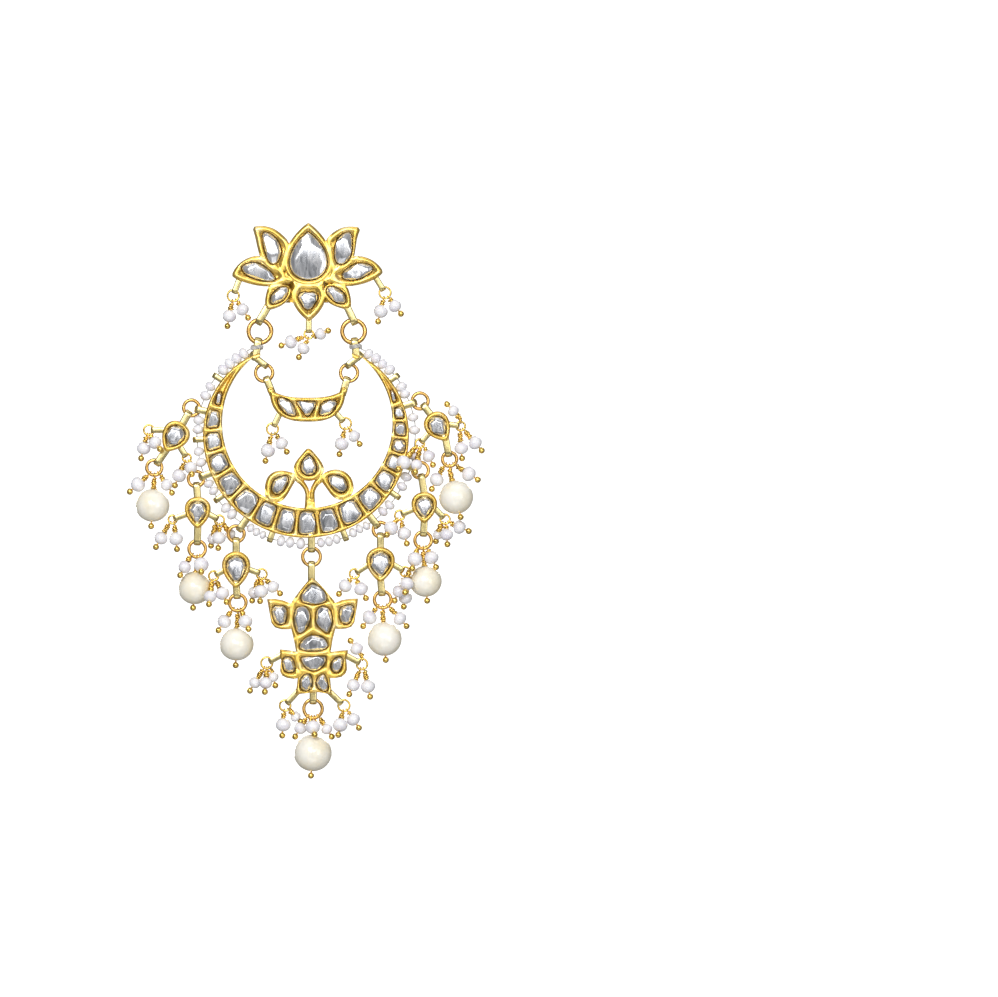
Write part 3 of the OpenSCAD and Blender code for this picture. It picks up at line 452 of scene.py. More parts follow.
def shell(grid, loop=False):
    """A closed skin over grid[u, v], where v always closes. With loop, u closes too; otherwise the
    first and the last row each shrink to their middle point. Faces are turned to point outwards."""
    g = np.asarray(grid, float)
    turn = np.roll(np.arange(g.shape[1]), -1)
    if loop:
        ids = np.arange(g.shape[0] * g.shape[1]).reshape(g.shape[:2])
        a, b = ids, np.roll(ids, -1, 0)
        places, tris = g.reshape(-1, 3), np.zeros((0, 3), int)
    else:
        rows = g[1:-1]
        ids = np.arange(rows.shape[0] * rows.shape[1]).reshape(rows.shape[:2])
        a, b = ids[:-1], ids[1:]
        n = ids.size
        places = np.vstack((rows.reshape(-1, 3), g[0].mean(0), g[-1].mean(0)))
        tris = np.vstack((
            np.stack((np.full(len(turn), n), ids[0][turn], ids[0]), -1),
            np.stack((np.full(len(turn), n + 1), ids[-1], ids[-1][turn]), -1),
        ))
    quads = np.stack((a, a[:, turn], b[:, turn], b), -1).reshape(-1, 4)
    corner = places - places.mean(0)
    three = np.vstack((quads[:, :3], quads[:, [0, 2, 3]], tris))
    if np.einsum("ij,ij->", corner[three[:, 0]], np.cross(corner[three[:, 1]], corner[three[:, 2]])) < 0:
        quads, tris = quads[:, ::-1], tris[:, ::-1]
    return places, quads, tris


def sweep(path, side, section, loop=False):
    """A section carried along a path: its first number goes out along the side, its second across
    both. An open path is closed by a cap at each end."""
    path = np.asarray(path, float)
    if loop:
        ahead = np.roll(path, -1, 0) - np.roll(path, 1, 0)
    else:
        ahead = np.gradient(path, axis=0)
    ahead = unit(ahead)
    side = np.broadcast_to(np.asarray(side, float), path.shape)
    side = unit(side - (side * ahead).sum(1, keepdims=True) * ahead)
    across = np.cross(ahead, side)
    section = np.asarray(section, float)
    section = section if section.ndim == 3 else np.broadcast_to(section, (len(path),) + section.shape)
    grid = path[:, None] + section[..., :1] * side[:, None] + section[..., 1:] * across[:, None]
    if not loop:
        grid = np.concatenate((np.repeat(path[:1, None], grid.shape[1], 1), grid,
                               np.repeat(path[-1:, None], grid.shape[1], 1)))
    return shell(grid, loop)


def circle(r, n):
    """A round section."""
    return ray(around(n)) * r


def soft_box(a, b, n=20, power=0.35):
    """A section like a rectangle with rounded corners, half sides a and b."""
    return blunt(ray(around(n)), power) * [a, b]


def lathe(profile, origin, axis, n=24, swell=None):
    """A profile of (way along, radius) turned round an axis; swell changes the radius by place."""
    axis, slant = unit(axis), [0.31, 0.2, 0.93]
    p = unit(np.cross(axis, slant))
    q = np.cross(axis, p)
    profile = np.asarray(profile, float)
    t = around(n)
    r = profile[:, 1:2] * (1 if swell is None else swell)
    grid = (np.asarray(origin, float) + profile[:, :1, None] * axis
            + (r * np.cos(t))[..., None] * p + (r * np.sin(t))[..., None] * q)
    return shell(grid)


def ring(c, r, wire, n=72, sides=14, seed=0):
    """A ring of round wire, a little uneven as hand drawn wire is: its radius swings by a few percent."""
    t = around(n)
    out = np.column_stack((np.cos(t), np.sin(t), np.zeros(n)))
    path = np.array([c[0], c[1], MID]) + out * (r - wire)
    wire = wire + 0.03
    even = 1 + 0.03 * np.sin(3 * t + seed) + 0.02 * np.sin(7 * t + 2 * seed)
    return sweep(path, out, circle(wire, sides)[None] * even[:, None, None], loop=True)


def pearl(origin, axis, r, seed, rows=20, n=28, flat=0.93):
    """A pearl: a ball, a little flat along its pin, whose radius swells and dips in slow waves."""
    rng = np.random.default_rng(seed)
    a = np.linspace(0, np.pi, rows)[:, None]
    t = around(n)[None]
    p = rng.uniform(0, 6.28, 4)
    k = rng.uniform(0.4, 1.0, 4)
    odd = 0.3 if r > LARGE_R else 0.8
    waves = (0.018 * k[0] * np.cos(t + p[0]) + 0.022 * k[1] * np.cos(2 * t + p[1])
             + 0.010 * k[2] * np.cos(3 * t + p[2] + 2 * a))
    swell = 1 + odd * np.sin(a) * waves + 0.012 * odd * k[3] * np.cos(3 * a + p[3])
    flat = flat - 0.05 * rng.random()
    profile = np.column_stack((-r * flat * np.cos(a[:, 0]), r * np.sin(a[:, 0])))
    return lathe(profile, origin, axis, n, swell)


def pin_line(hoop, wire, p):
    """Line of a head pin: start on its eye, direction, the eye's place, axis and radius, the pearl."""
    a = np.radians(p[4])
    q = np.array([p[0], p[1], MID + p[3]])
    r = hoop[2] - wire
    e = np.array([hoop[0] + r * np.sin(a), hoop[1] - r * np.cos(a), MID])
    axis = np.array([np.cos(a), np.sin(a), 0])
    u = q - e
    v = u - (u @ axis) * axis
    eye = wire + SMALL_SLACK + EYE_WIRE
    k = e + eye * unit(v)
    return k, unit(q - k), e, axis, eye, q


def head_pin(hoop, wire, p):
    """A head pin: an eye on the ring, wire wound down the shank in a widening screw line to the
    pearl, the shank through it and a bead at its end. Eye, winding and bead are drawn a little
    thicker than the solids, or they would be too thin to see."""
    eye_wire, wound_wire, bead = 0.13, 0.15, BEAD + 0.09
    k, along, e, axis, eye, q = pin_line(hoop, wire, p)
    t = around(22)
    a = unit(np.cross(axis, along))
    b = np.cross(axis, a)
    out = np.cos(t)[:, None] * a + np.sin(t)[:, None] * b
    parts = [sweep(e + eye * out, out, circle(eye_wire, 8), loop=True)]
    reach = np.linalg.norm(q - k)
    room = reach - 0.95 * p[2]
    pitch, steps = 0.3, 14
    turns = max(1.6, room / pitch)
    n = int(steps * turns)
    w = 2 * np.pi * turns * np.arange(n) / n
    side = np.cos(w)[:, None] * a + np.sin(w)[:, None] * np.cross(along, a)
    s = np.linspace(0.02, max(room, 0.15), n)
    wide = 0.3 + 0.08 * np.sin(1.7 * w + p[0] * 3) + 0.06 * (s / max(room, 0.3)) ** 2
    parts.append(sweep(k + s[:, None] * along + wide[:, None] * side, along, circle(wound_wire, 8)))
    line = k + np.linspace(0, reach + p[2] + bead, 3)[:, None] * along
    parts.append(sweep(line, a, circle(SHANK, 8)))
    c = np.linspace(0, np.pi, 12)
    ball = np.column_stack((-bead * np.cos(c), bead * np.sin(c)))
    parts.append(lathe(ball, k + along * (reach + p[2] + 0.05 + bead), along, 16))
    return parts


def strap(root, hole, bore, width, wall=STRAP_WALL):
    """A strap bent round a ring's wire: an oblong path round the bore and back to the setting, with a
    flat rounded section. Returns the strap and the facts for the enamel on its back."""
    root, hole = np.array(root, float), np.array(hole, float)
    long = np.linalg.norm(root - hole) + 0.25
    u = unit(root - hole)
    u = np.array([u[0], u[1], 0])
    up = np.array([0, 0, 1.0])
    r = bore + wall / 2
    a = np.radians(np.linspace(90, 270, 13))
    b = np.radians(np.linspace(-90, 90, 7))
    x = np.concatenate((r * np.cos(a), np.linspace(0.1, long - 0.1, 4), long + r * np.cos(b),
                        np.linspace(long - 0.1, 0.1, 4)))
    z = np.concatenate((r * np.sin(a), np.full(4, -r), r * np.sin(b), np.full(4, r)))
    path = np.array([hole[0], hole[1], MID]) + x[:, None] * u + z[:, None] * up
    ahead = unit(np.roll(path, -1, 0) - np.roll(path, 1, 0))
    side = np.cross(ahead, np.cross(u, up))
    section = soft_box(wall / 2 + 0.02, width / 2, 18, 0.8)
    return sweep(path, side, section, loop=True), (hole, u, long, r + wall / 2, width)


def lens(middle, along, out, half_l, half_w, rise):
    """A pointed oval with a domed face: width sin t times |sin t| ^ 0.6, height 1 - s squared."""
    along, out = unit(along), unit(out)
    across = np.cross(out, along)
    t = around(20)
    s = np.array([0, 0.35, 0.7, 0.92, 1.0, 1.0, 0])[:, None]
    h = np.concatenate((rise * (1 - s[:5, 0] ** 2), [-0.06, -0.06]))[:, None]
    grid = (np.asarray(middle, float) + (half_l * s * np.cos(t))[..., None] * along
            + (half_w * s * np.sin(t) * np.abs(np.sin(t)) ** 0.6)[..., None] * across
            + (h + 0 * t)[..., None] * out)
    return shell(grid)


def back_enamel(facts):
    """The blue pointed oval let into a strap's back."""
    hole, u, long, deep, width = facts
    half = min(0.5 * (long + deep) - 0.05, 1.0)
    middle = np.array([hole[0], hole[1], MID - deep - 0.005]) + u * (half - deep * 0.5)
    return lens(middle, u, [0, 0, -1], half * 0.85, width * 0.3, 0.05)


def uncut(outline, seed, inner=0.07, rings=14, n=52):
    """An uncut stone: round its opening the height is the least of a tilted table and six to eight
    sloping faces, each a plane that starts at the rim, so the faces meet in straight soft edges."""
    rng = np.random.default_rng(seed)
    line = np.vstack((outline, outline[:1]))
    way = np.concatenate(([0], np.cumsum(np.hypot(*np.diff(line, axis=0).T))))
    at = np.linspace(0, way[-1], n, endpoint=False)
    p = np.column_stack((np.interp(at, way, line[:, 0]), np.interp(at, way, line[:, 1])))
    c = p.mean(0)
    p = p + inner * unit(c - p)
    s = np.linspace(0, 1, rings)
    place = c + (p - c)[None] * s[:, None, None]
    faces = rng.integers(6, 9)
    a = 2 * np.pi * (np.arange(faces) + 0.35 * rng.random(faces) + 0.5 * rng.random()) / faces
    u = ray(a)
    hold = ((p - c) @ u.T).max(0)
    low, top = THICK - 0.42, THICK + PROUD
    slope = (top - low) / (hold * rng.uniform(0.3, 0.55, faces))
    h = low + slope * (hold - (place - c) @ u.T)
    tilt = rng.uniform(-0.05, 0.05, 2)
    table = top - 0.03 + (place - c) @ tilt - 0.02 * ((place - c) ** 2).sum(-1)
    z = np.minimum(h.min(-1), table)
    grid = np.concatenate((place, z[..., None]), -1)
    rim = np.concatenate((np.broadcast_to(p, (2,) + p.shape), np.empty((2, n, 1))), -1)
    floor = THICK - POCKET + 0.1
    rim[0, :, 2], rim[1, :, 2] = THICK - 0.75, floor
    last = np.repeat([[np.append(c, floor)]], n, 1)
    return shell(np.concatenate((grid, rim, last)))


def blurred(h, keep, times=1):
    """Heights smoothed with a 1-2-1 rule both ways, counting only places that belong to the plate."""
    for _ in range(times):
        a, w = h * keep, keep.astype(float)
        for axis in (0, 1):
            a = np.roll(a, 1, axis) + 2 * a + np.roll(a, -1, axis)
            w = np.roll(w, 1, axis) + 2 * w + np.roll(w, -1, axis)
        h = np.where(keep, a / np.maximum(w, 1e-9), h)
    return h


def relief(outline, box, front, back, step=0.1, blur=3):
    """A plate as two height maps on one square grid, cut at the outline, where the grid's edge points
    are pulled onto it along the steepest way, and closed by a wall. front gives height and painted shade;
    back gives height, colour and cover of enamel. Returns places, quads and the marks of each point."""
    x = np.arange(box[0] - 2 * step, box[2] + 3 * step, step)
    y = np.arange(box[1] - 2 * step, box[3] + 3 * step, step)
    grid = np.stack(np.meshgrid(x, y), -1)
    mids = grid[:-1, :-1] + step / 2
    keep = (outline(mids.reshape(-1, 2)) < 0).reshape(mids.shape[:2])
    for _ in range(3):
        a, b, c, d = keep[:-1, :-1], keep[:-1, 1:], keep[1:, :-1], keep[1:, 1:]
        cross_1, cross_2 = a & d & ~b & ~c, b & c & ~a & ~d
        keep[:-1, 1:] |= cross_1
        keep[:-1, :-1] |= cross_2
    pad = np.pad(keep, 1)
    four = [pad[:-1, :-1], pad[:-1, 1:], pad[1:, :-1], pad[1:, 1:]]
    used, inner = np.any(four, axis=0), np.all(four, axis=0)
    edge = used & ~inner
    p = grid[edge]
    e = 0.01
    for _ in range(4):
        d = outline(p)
        g = np.column_stack([outline(p + side) - outline(p - side) for side in ([e, 0], [0, e])]) / (2 * e)
        g /= np.maximum((g * g).sum(1, keepdims=True), 0.5)
        p = p - np.clip(d[:, None] * g, -step, step)
    grid[edge] = p
    places = grid[used]
    ids = np.full(used.shape, -1)
    ids[used] = np.arange(used.sum())
    top = np.zeros(used.shape)
    top[used], wear = front(places)
    top = blurred(top, used, blur)[used]
    low, colour = back(places)
    n = len(places)
    squares = np.stack((ids[:-1, :-1], ids[:-1, 1:], ids[1:, 1:], ids[1:, :-1]), -1)
    quads = squares[keep]
    walls = []
    for dy, dx, i, j in ((0, 1, 0, 1), (1, 2, 1, 2), (2, 1, 2, 3), (1, 0, 3, 0)):
        bare = ~pad[dy:dy + keep.shape[0], dx:dx + keep.shape[1]]
        walls.append(squares[keep & bare][:, [i, j]])
    walls = np.vstack(walls)
    rim = np.unique(walls)
    row = np.full(n, -1)
    row[rim] = np.arange(len(rim))
    m = len(rim)
    first, second = 2 * n, 2 * n + m
    spots = np.vstack((
        np.column_stack((places, top)), np.column_stack((places, low)),
        np.column_stack((places[rim], top[rim] - 0.1)), np.column_stack((places[rim], low[rim] + 0.12)),
    ))
    a, b = walls.T
    faces = np.vstack((
        quads, quads[:, ::-1] + n,
        np.column_stack((b, a, row[a] + first, row[b] + first)),
        np.column_stack((row[b] + first, row[a] + first, row[a] + second, row[b] + second)),
        np.column_stack((row[b] + second, row[a] + second, a + n, b + n)),
    ))
    none = np.zeros((m, 4))
    marks = {
        "enamel": np.vstack((np.zeros((n, 4)), colour, none, none)),
        "pale": np.concatenate((np.zeros(n), np.ones(n), np.full(m, 0.75), np.ones(m))),
        # The groove mark carries the painted shade of the front; the upper wall row gets a little of it
        "groove": np.concatenate((wear, np.zeros(n), np.full(m, 0.1), np.zeros(m))),
    }
    return (spots, faces, np.zeros((0, 3), int)), marks


def uneven(places, seed, size=1.7):
    """Slow hand-made waves: six sines of the place, mostly within plus or minus one."""
    rng = np.random.default_rng(seed)
    total = np.zeros(len(places))
    for k in range(6):
        a = rng.uniform(0, 6.28)
        f = 2 * np.pi / (size * rng.uniform(0.5, 1.6))
        total += np.sin((places @ [np.cos(a), np.sin(a)]) * f + rng.uniform(0, 6.28))
    return total / 3


def rolled(u):
    """A rounded roll across -1 to 1: one less the square, to a power."""
    return np.clip(1 - u ** 2, 0, 1) ** ROLL_POWER


def gold_front(plates, cells, rise, seed, rim_w, line_w=0.9):
    """Height of a stone-set face and the painted shade of its low gold. Plates are laid one over another;
    in each the gold stands in a roll along its outline and along the lines midway between stones, each as
    wide as the gap or its own limit, and lies lower beside the stones, where a pocket drops away."""
    def front(places):
        near = np.sort(np.stack([distance(places, c) for c in cells] + [np.full(len(places), FAR)]), axis=0)
        dc, dn = near[0], near[1]
        h = np.full(len(places), GOLD_GROUND)
        roll = np.zeros(len(places))
        u = (dn - dc) / np.clip(dn + dc, 0.1, line_w)
        between = 0.95 * rolled(u) * (dn < FAR - 1)
        for plate in plates:
            t = -distance(places, plate)
            w = np.clip(np.minimum(rim_w, t + np.maximum(dc, 0)), 0.2, None)
            r = np.maximum(np.where(t < w, rolled(2 * t / w - 1), 0), between)
            h = np.where(t > 0, GOLD_GROUND + rise * r, h)
            roll = np.where(t > 0, r, roll)
        h = h + 0.01 * uneven(places, seed, 3.0) * (dc > 0)
        h = np.where(dc < -0.02, THICK - POCKET, h)
        # Painted shade: strongest on the low gold away from the rolls and at the stones' edges
        wear = np.clip(1 - roll * 1.5, 0, 1) * np.clip(dc / 0.05, 0, 1)
        return h, np.where(dc < 0.06, 0.9, wear)
    return front


def enamelled(layers):
    """Depth and colour of an enamelled back: colours laid one over another, each a distance function
    below zero where it lies, and the name of its enamel; None lays bare gold."""
    def back(places):
        rgb, cover = np.zeros((len(places), 3)), np.zeros(len(places))
        for far, colour in layers:
            m = np.clip(0.5 - far(places) / 0.12, 0, 1)
            if colour is None:
                cover = cover * (1 - m)
            else:
                laid = np.array(tuple(getattr(chosen("enamel"), colour)))
                rgb = rgb * (1 - m[:, None]) + laid[None] * m[:, None]
                cover = cover * (1 - m) + m
        return ENAMEL_DEEP * cover, np.column_stack((rgb, cover))
    return back


def shape(line, grow=0.0):
    """Distance function of one outline, grown by a gap."""
    return lambda places: distance(places, line) - grow


def inlay(line, colour, gap=0.13):
    """Two layers: an outline filled with enamel and the line of bare gold round it."""
    return [(shape(line, gap), None), (shape(line), colour)]


def stroke(points, half=0.09):
    """Distance function of a line drawn with a width."""
    return lambda places: distance(places, np.array(points, float), False) - half


# ---------------------------------------------------------------- meshes and materials
def linear(text):
    """sRGB hex to linear numbers."""
    c = np.array([int(text[i:i + 2], 16) for i in (1, 3, 5)]) / 255
    return tuple(np.where(c <= 0.04045, c / 12.92, ((c + 0.055) / 1.055) ** 2.4))


def chosen(group):
    """What the user has set in one group."""
    return getattr(bpy.context.scene, "chandbali_" + group)


def dress(name, parts, material, body, stands_for=(), marks=None, sharp=None):
    """Makes one piece of several skins, stands it up, and lets it ride on its body."""
    count = np.cumsum([0] + [len(p[0]) for p in parts])
    places = upright(np.vstack([p[0] for p in parts]))
    quads, tris = (np.vstack([p[i] + k for p, k in zip(parts, count)]).astype(np.int32) for i in (1, 2))
    mesh = bpy.data.meshes.new(name)
    mesh.vertices.add(len(places))
    mesh.vertices.foreach_set("co", places.astype(np.float32).ravel())
    corners = np.concatenate((quads.ravel(), tris.ravel()))
    mesh.loops.add(len(corners))
    mesh.loops.foreach_set("vertex_index", corners)
    sizes = np.concatenate((np.full(len(quads), 4), np.full(len(tris), 3)))
    mesh.polygons.add(len(sizes))
    mesh.polygons.foreach_set("loop_start", (np.cumsum(sizes) - sizes).astype(np.int32))
    mesh.polygons.foreach_set("use_smooth", np.ones(len(sizes), bool))
    mesh.update(calc_edges=True)
    if mesh.validate():
        raise RuntimeError(f"{name}: its faces are not sound")
    for key, values in (marks or {}).items():
        kind, field = ("FLOAT_COLOR", "color") if values.ndim == 2 else ("FLOAT", "value")
        mark = mesh.attributes.new(key, kind, "POINT")
        mark.data.foreach_set(field, values.astype(np.float32).ravel())
    if sharp:
        mesh.set_sharp_from_angle(angle=np.radians(sharp))
    mesh.materials.append(material)
    piece = bpy.data.objects.new(name, mesh)
    bpy.context.scene.collection.objects.link(piece)
    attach(piece, body)
    if stands_for:
        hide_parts(*stands_for)


def feed(tree, node, inputs):
    """Gives a node's inputs a number, a colour or another node's output."""
    for key, value in inputs.items():
        if isinstance(value, bpy.types.NodeSocket):
            tree.links.new(value, node.inputs[key])
        else:
            node.inputs[key].default_value = value


def add(tree, kind, inputs, **settings):
    """Adds a node, sets it, feeds its inputs and gives its outputs."""
    made = tree.nodes.new(kind)
    for key, value in settings.items():
        setattr(made, key, value)
    feed(tree, made, inputs)
    return made.outputs


def new_material(name):
    """An empty material: its nodes, its surface shader and the place in the piece's own frame."""
    m = bpy.data.materials.new(name)
    m.use_nodes = True
    tree = m.node_tree
    shader = next(n for n in tree.nodes if n.type == "BSDF_PRINCIPLED")
    return m, tree, shader, add(tree, "ShaderNodeTexCoord", {})["Object"]


def ramp(tree, fac, stops):
    """A colour ramp over a value: stops of (place, linear colour)."""
    colour = add(tree, "ShaderNodeValToRGB", {"Fac": fac})["Color"]
    row = colour.node.color_ramp.elements
    while len(row) < len(stops):
        row.new(0.5)
    for e, (place, tone) in zip(row, stops):
        e.position, e.color = place, rgba(tone)
    return colour


def noise(tree, place, size, detail, **more):
    """Cloudy noise, its scale given by a size in millimetres."""
    inputs = {"Vector": place, "Scale": 1 / (size * MM), "Detail": detail, **more}
    return add(tree, "ShaderNodeTexNoise", inputs)["Fac"]


def spread(tree, value, low, high, start=0.0, end=1.0):
    """Maps the values from start to end onto those from low to high."""
    inputs = {"Value": value, "From Min": start, "From Max": end, "To Min": low, "To Max": high}
    return add(tree, "ShaderNodeMapRange", inputs)["Result"]


def mix(tree, fac, a, b, **settings):
    """Two colours mixed."""
    return add(tree, "ShaderNodeMix", {0: fac, 6: a, 7: b}, data_type="RGBA", **settings)[2]


def bump(tree, height, strength, deep):
    """The skin's direction over a relief of a depth in millimetres."""
    inputs = {"Height": height, "Strength": strength, "Distance": deep * MM}
    return add(tree, "ShaderNodeBump", inputs)["Normal"]


def rgba(c):
    """A colour with full cover."""
    return (c[0], c[1], c[2], 1)


def shaded(colour, k):
    """A colour made darker or lighter, never past white."""
    return tuple(min(1, v * k) for v in colour)


def gold_wire(name, colour, rough, deep=0.76, grain=1.1):
    """22 carat gold wire, drawn and pickled: warm metal whose tone drifts over a millimetre or two
    and whose skin is finely pitted, so highlights are soft."""
    m, tree, shader, place = new_material(name)
    cloud, fine = noise(tree, place, 1.6, 1.0), noise(tree, place, grain, 2.0)
    tones = [(0.3, shaded(colour, deep)), (0.52, colour), (0.75, shaded(colour, 1.12))]
    feed(tree, shader, {"Base Color": ramp(tree, cloud, tones), "Metallic": 1.0,
                        "Roughness": spread(tree, fine, rough * 0.85, rough * 1.2),
                        "Normal": bump(tree, fine, 0.15, 0.03)})
    return m


def setting_gold(name, front, pale):
    """Pure gold foil burnished round stones over a lac core, with pale soldered walls and fired enamel
    behind: rolls are bright, grooves carry painted brown shade, and the enamel is glass with a clear gloss."""
    m, tree, shader, place = new_material(name)
    cloud, rub, spots = (noise(tree, place, *of) for of in ((1.9, 1.0), (0.8, 1.0), (0.5, 3.0)))
    warm = ramp(tree, cloud, [(0.3, shaded(front, 0.92)), (0.5, front), (0.75, linear("#FBE09A"))])
    side = ramp(tree, cloud, [(0.3, shaded(pale, 0.7)), (0.5, pale), (0.75, linear("#F4ECC6"))])
    pale_at, groove, glass = (add(tree, "ShaderNodeAttribute", {}, attribute_name=key)
                              for key in ("pale", "groove", "enamel"))
    # Painted shade: the groove mark mixes the gold towards dark brown (#A87A2C) in the low places beside the
    # stones
    dirt = add(tree, "ShaderNodeMath", {0: groove["Fac"], 1: 0.28}, operation="MULTIPLY")[0]
    worn = mix(tree, dirt, mix(tree, pale_at["Fac"], warm, side), rgba(linear("#A87A2C")))
    cover = spread(tree, glass["Alpha"], 0.0, 1.0, 0.35, 0.65)
    tint = mix(tree, 1.0, glass["Color"], spread(tree, spots, 0.72, 1.2, 0.3, 0.7), blend_type="MULTIPLY")
    gloss = spread(tree, rub, 0.34, 0.43, 0.3, 0.7)
    feed(tree, shader, {"Base Color": mix(tree, cover, worn, tint),
                        "Metallic": add(tree, "ShaderNodeMath", {0: 1.0, 1: cover}, operation="SUBTRACT")[0],
                        "Roughness": add(tree, "ShaderNodeMix", {0: cover, 2: gloss, 3: 0.14})[0],
                        "Normal": bump(tree, rub, 0.05, 0.03)})
    return m


def foiled_stone(name, light, dark):
    """Uncut diamond over silver foil: bright grey with long soft streaks and small dark marks, partly the
    foil's own creases and partly painted reflections of the foil and facets, under a hard clear gloss."""
    m, tree, shader, place = new_material(name)
    long = add(tree, "ShaderNodeMapping", {"Vector": place, "Scale": (1.5, 1.0, 0.55)})["Vector"]
    streak = noise(tree, long, 1.5, 1.5, Distortion=1.0)
    dull, silver = shaded(light, 0.85), (0.74, 0.74, 0.76)
    # Painted reflection in part: the light and dark streaks stand in for what the foil shows through the
    # stone
    tone = ramp(tree, streak, [(0.3, dark), (0.42, dull), (0.5, light), (0.6, silver), (0.72, dull)])
    chips = add(tree, "ShaderNodeTexVoronoi", {"Vector": long, "Scale": 1 / (1.1 * MM), "Randomness": 1.0},
                feature="F1")["Distance"]
    speck = ramp(tree, chips, [(0.08, (0.3, 0.31, 0.32)), (0.2, (1, 1, 1))])
    feed(tree, shader, {"Base Color": mix(tree, 0.8, tone, speck, blend_type="MULTIPLY"),
                        "Metallic": 0.7, "Roughness": 0.23,
                        "Coat Weight": 1.0, "Coat Roughness": 0.03, "Coat IOR": 1.8,
                        "Normal": bump(tree, streak, 0.35, 0.12)})
    return m


def nacre(name, colour, rim, size, skin):
    """Cultured pearl: layered nacre, a soft white body with a faint drift of cream and rose, a
    little light let in, and a close satin gloss. The tint of the outer skin deepens where light
    runs through it at a slant, so the ball darkens towards its edge."""
    m, tree, shader, place = new_material(name)
    cloud, fine = noise(tree, place, size, 2.0), noise(tree, place, 0.35, 2.0)
    tones = [(0.3, linear(rim)), (0.55, colour), (0.78, linear("#FFF9FA"))]
    feed(tree, shader, {"Base Color": ramp(tree, cloud, tones), "Roughness": 0.18, "IOR": 1.65,
                        "Subsurface Weight": 0.15, "Subsurface Radius": (0.4, 0.36, 0.33),
                        "Subsurface Scale": 1.2 * MM,
                        "Coat Weight": 1.0, "Coat Roughness": 0.12, "Coat IOR": 1.15,
                        "Coat Tint": rgba(linear(skin)), "Normal": bump(tree, fine, 0.12, 0.05)})
    return m


def fired_enamel(name, colour):
    """Clear blue enamel over cut gold: deep glass with a polished skin."""
    m, tree, shader, place = new_material(name)
    tones = [(0.35, shaded(colour, 0.6)), (0.65, shaded(colour, 1.5))]
    feed(tree, shader, {"Base Color": ramp(tree, noise(tree, place, 0.5, 2.0), tones),
                        "Roughness": 0.12, "IOR": 1.52, "Coat Weight": 0.5})
    return m


def twisted_thread(name, colour):
    """Waxed cotton thread in two plies: dull, with slanting ridges, its colour darkened in the valleys
    between them as painted shade.
    """
    m, tree, shader, place = new_material(name)
    ply = add(tree, "ShaderNodeTexWave", {"Vector": place, "Scale": 1 / (1.6 * MM), "Distortion": 2.0},
              bands_direction="DIAGONAL")["Fac"]
    # Painted shade: the ramp darkens the valleys of the same waves that make the bump
    feed(tree, shader, {"Base Color": ramp(tree, ply, [(0.0, shaded(colour, 0.6)), (0.7, colour)]),
                        "Roughness": 0.75, "Sheen Weight": 0.3, "Normal": bump(tree, ply, 0.5, 0.04)})
    return m


def the(name, make, *args):
    """A material by name, made when it is first asked for."""
    return bpy.data.materials.get(name) or make(name, *args)


def setting_look():
    """The settings' gold and enamel."""
    g = chosen("gold")
    return the("kundan_gold_and_enamel", setting_gold, tuple(g.front), tuple(g.pale))


def wire_look(kind):
    """Gold of the wires: pins, links, straps or the tarnished clip."""
    g = chosen("gold")
    name, *made = {
        "pin": ("gold_pin_wire", tuple(g.pin), 0.25),
        "link": ("rose_gold_link_wire", tuple(g.link), 0.32),
        "strap": ("pale_gold_strap", linear("#D6C58A"), 0.28),
        "clip": ("clip_gold_tarnished", linear("#D9AC48"), 0.34, 0.32, 0.9),
    }[kind]
    return the(name, gold_wire, *made)


def blue_look():
    """Blue enamel of the small pointed ovals."""
    return the("blue_enamel", fired_enamel, tuple(chosen("enamel").blue))


def pearl_look(kind):
    """Nacre of the small white pearls or the large cream ones."""
    rim, size, skin = {"small": ("#EEE9F1", 1.6, "#F5F5F7"), "large": ("#FAF3E2", 4.0, "#FCF9F0")}[kind]
    body = tuple(getattr(chosen("stone"), kind + "_pearl"))
    return the(kind + "_pearl_nacre", nacre, body, rim, size, skin)


def thread_look():
    """Pale thread of the seed strings and windings."""
    return the("waxed_cotton_thread", twisted_thread, linear("#C9C6C2"))


# ---------------------------------------------------------------- what a user can change
def colour_prop(name, about, text):
    """A colour that a user can change."""
    return FloatVectorProperty(name=name, description=about, default=linear(text), subtype="COLOR", size=3,
                               min=0, max=1)


def length_prop(name, about, value, low, high):
    """A length that a user can change, in metres."""
    return FloatProperty(name=name, description=about, default=value, min=low, max=high, unit="LENGTH",
                         precision=5)


def power_prop(name, about, value):
    """The power of a light."""
    return FloatProperty(name=name, description=about, default=value, min=0, unit="POWER")


class ChandbaliGold(PropertyGroup):
    """Gold tones and the roll's size."""
    front: colour_prop("Front gold", "Pure gold burnished round the stones", "#F7D06A")
    pale: colour_prop("Pale gold", "Walls and lines between enamels", "#EADA9A")
    link: colour_prop("Link gold", "Rings and links of drawn wire", "#E2B468")
    pin: colour_prop("Pin gold", "Head pins and jump rings", "#F3CE6E")
    roll: length_prop("Roll height", "Height of the gold rolls round the stones", 0.0005, 0.0002, 0.0007)
    step: length_prop("Relief step", "Grid step of the settings' surfaces", 0.00009, 0.00008, 0.0002)


class ChandbaliEnamel(PropertyGroup):
    """Enamel colours of the back."""
    green: colour_prop("Green", "Ground of the crescent and leaves", "#067F54")
    blue: colour_prop("Blue", "Border line and pointed ovals", "#0A1480")
    red: colour_prop("Red", "Petals, pears and fish", "#A8240E")
    orange: colour_prop("Orange", "Brighter red of fans and tail", "#D04A14")
    white: colour_prop("White", "Ground between the leaves", "#F3EEE6")


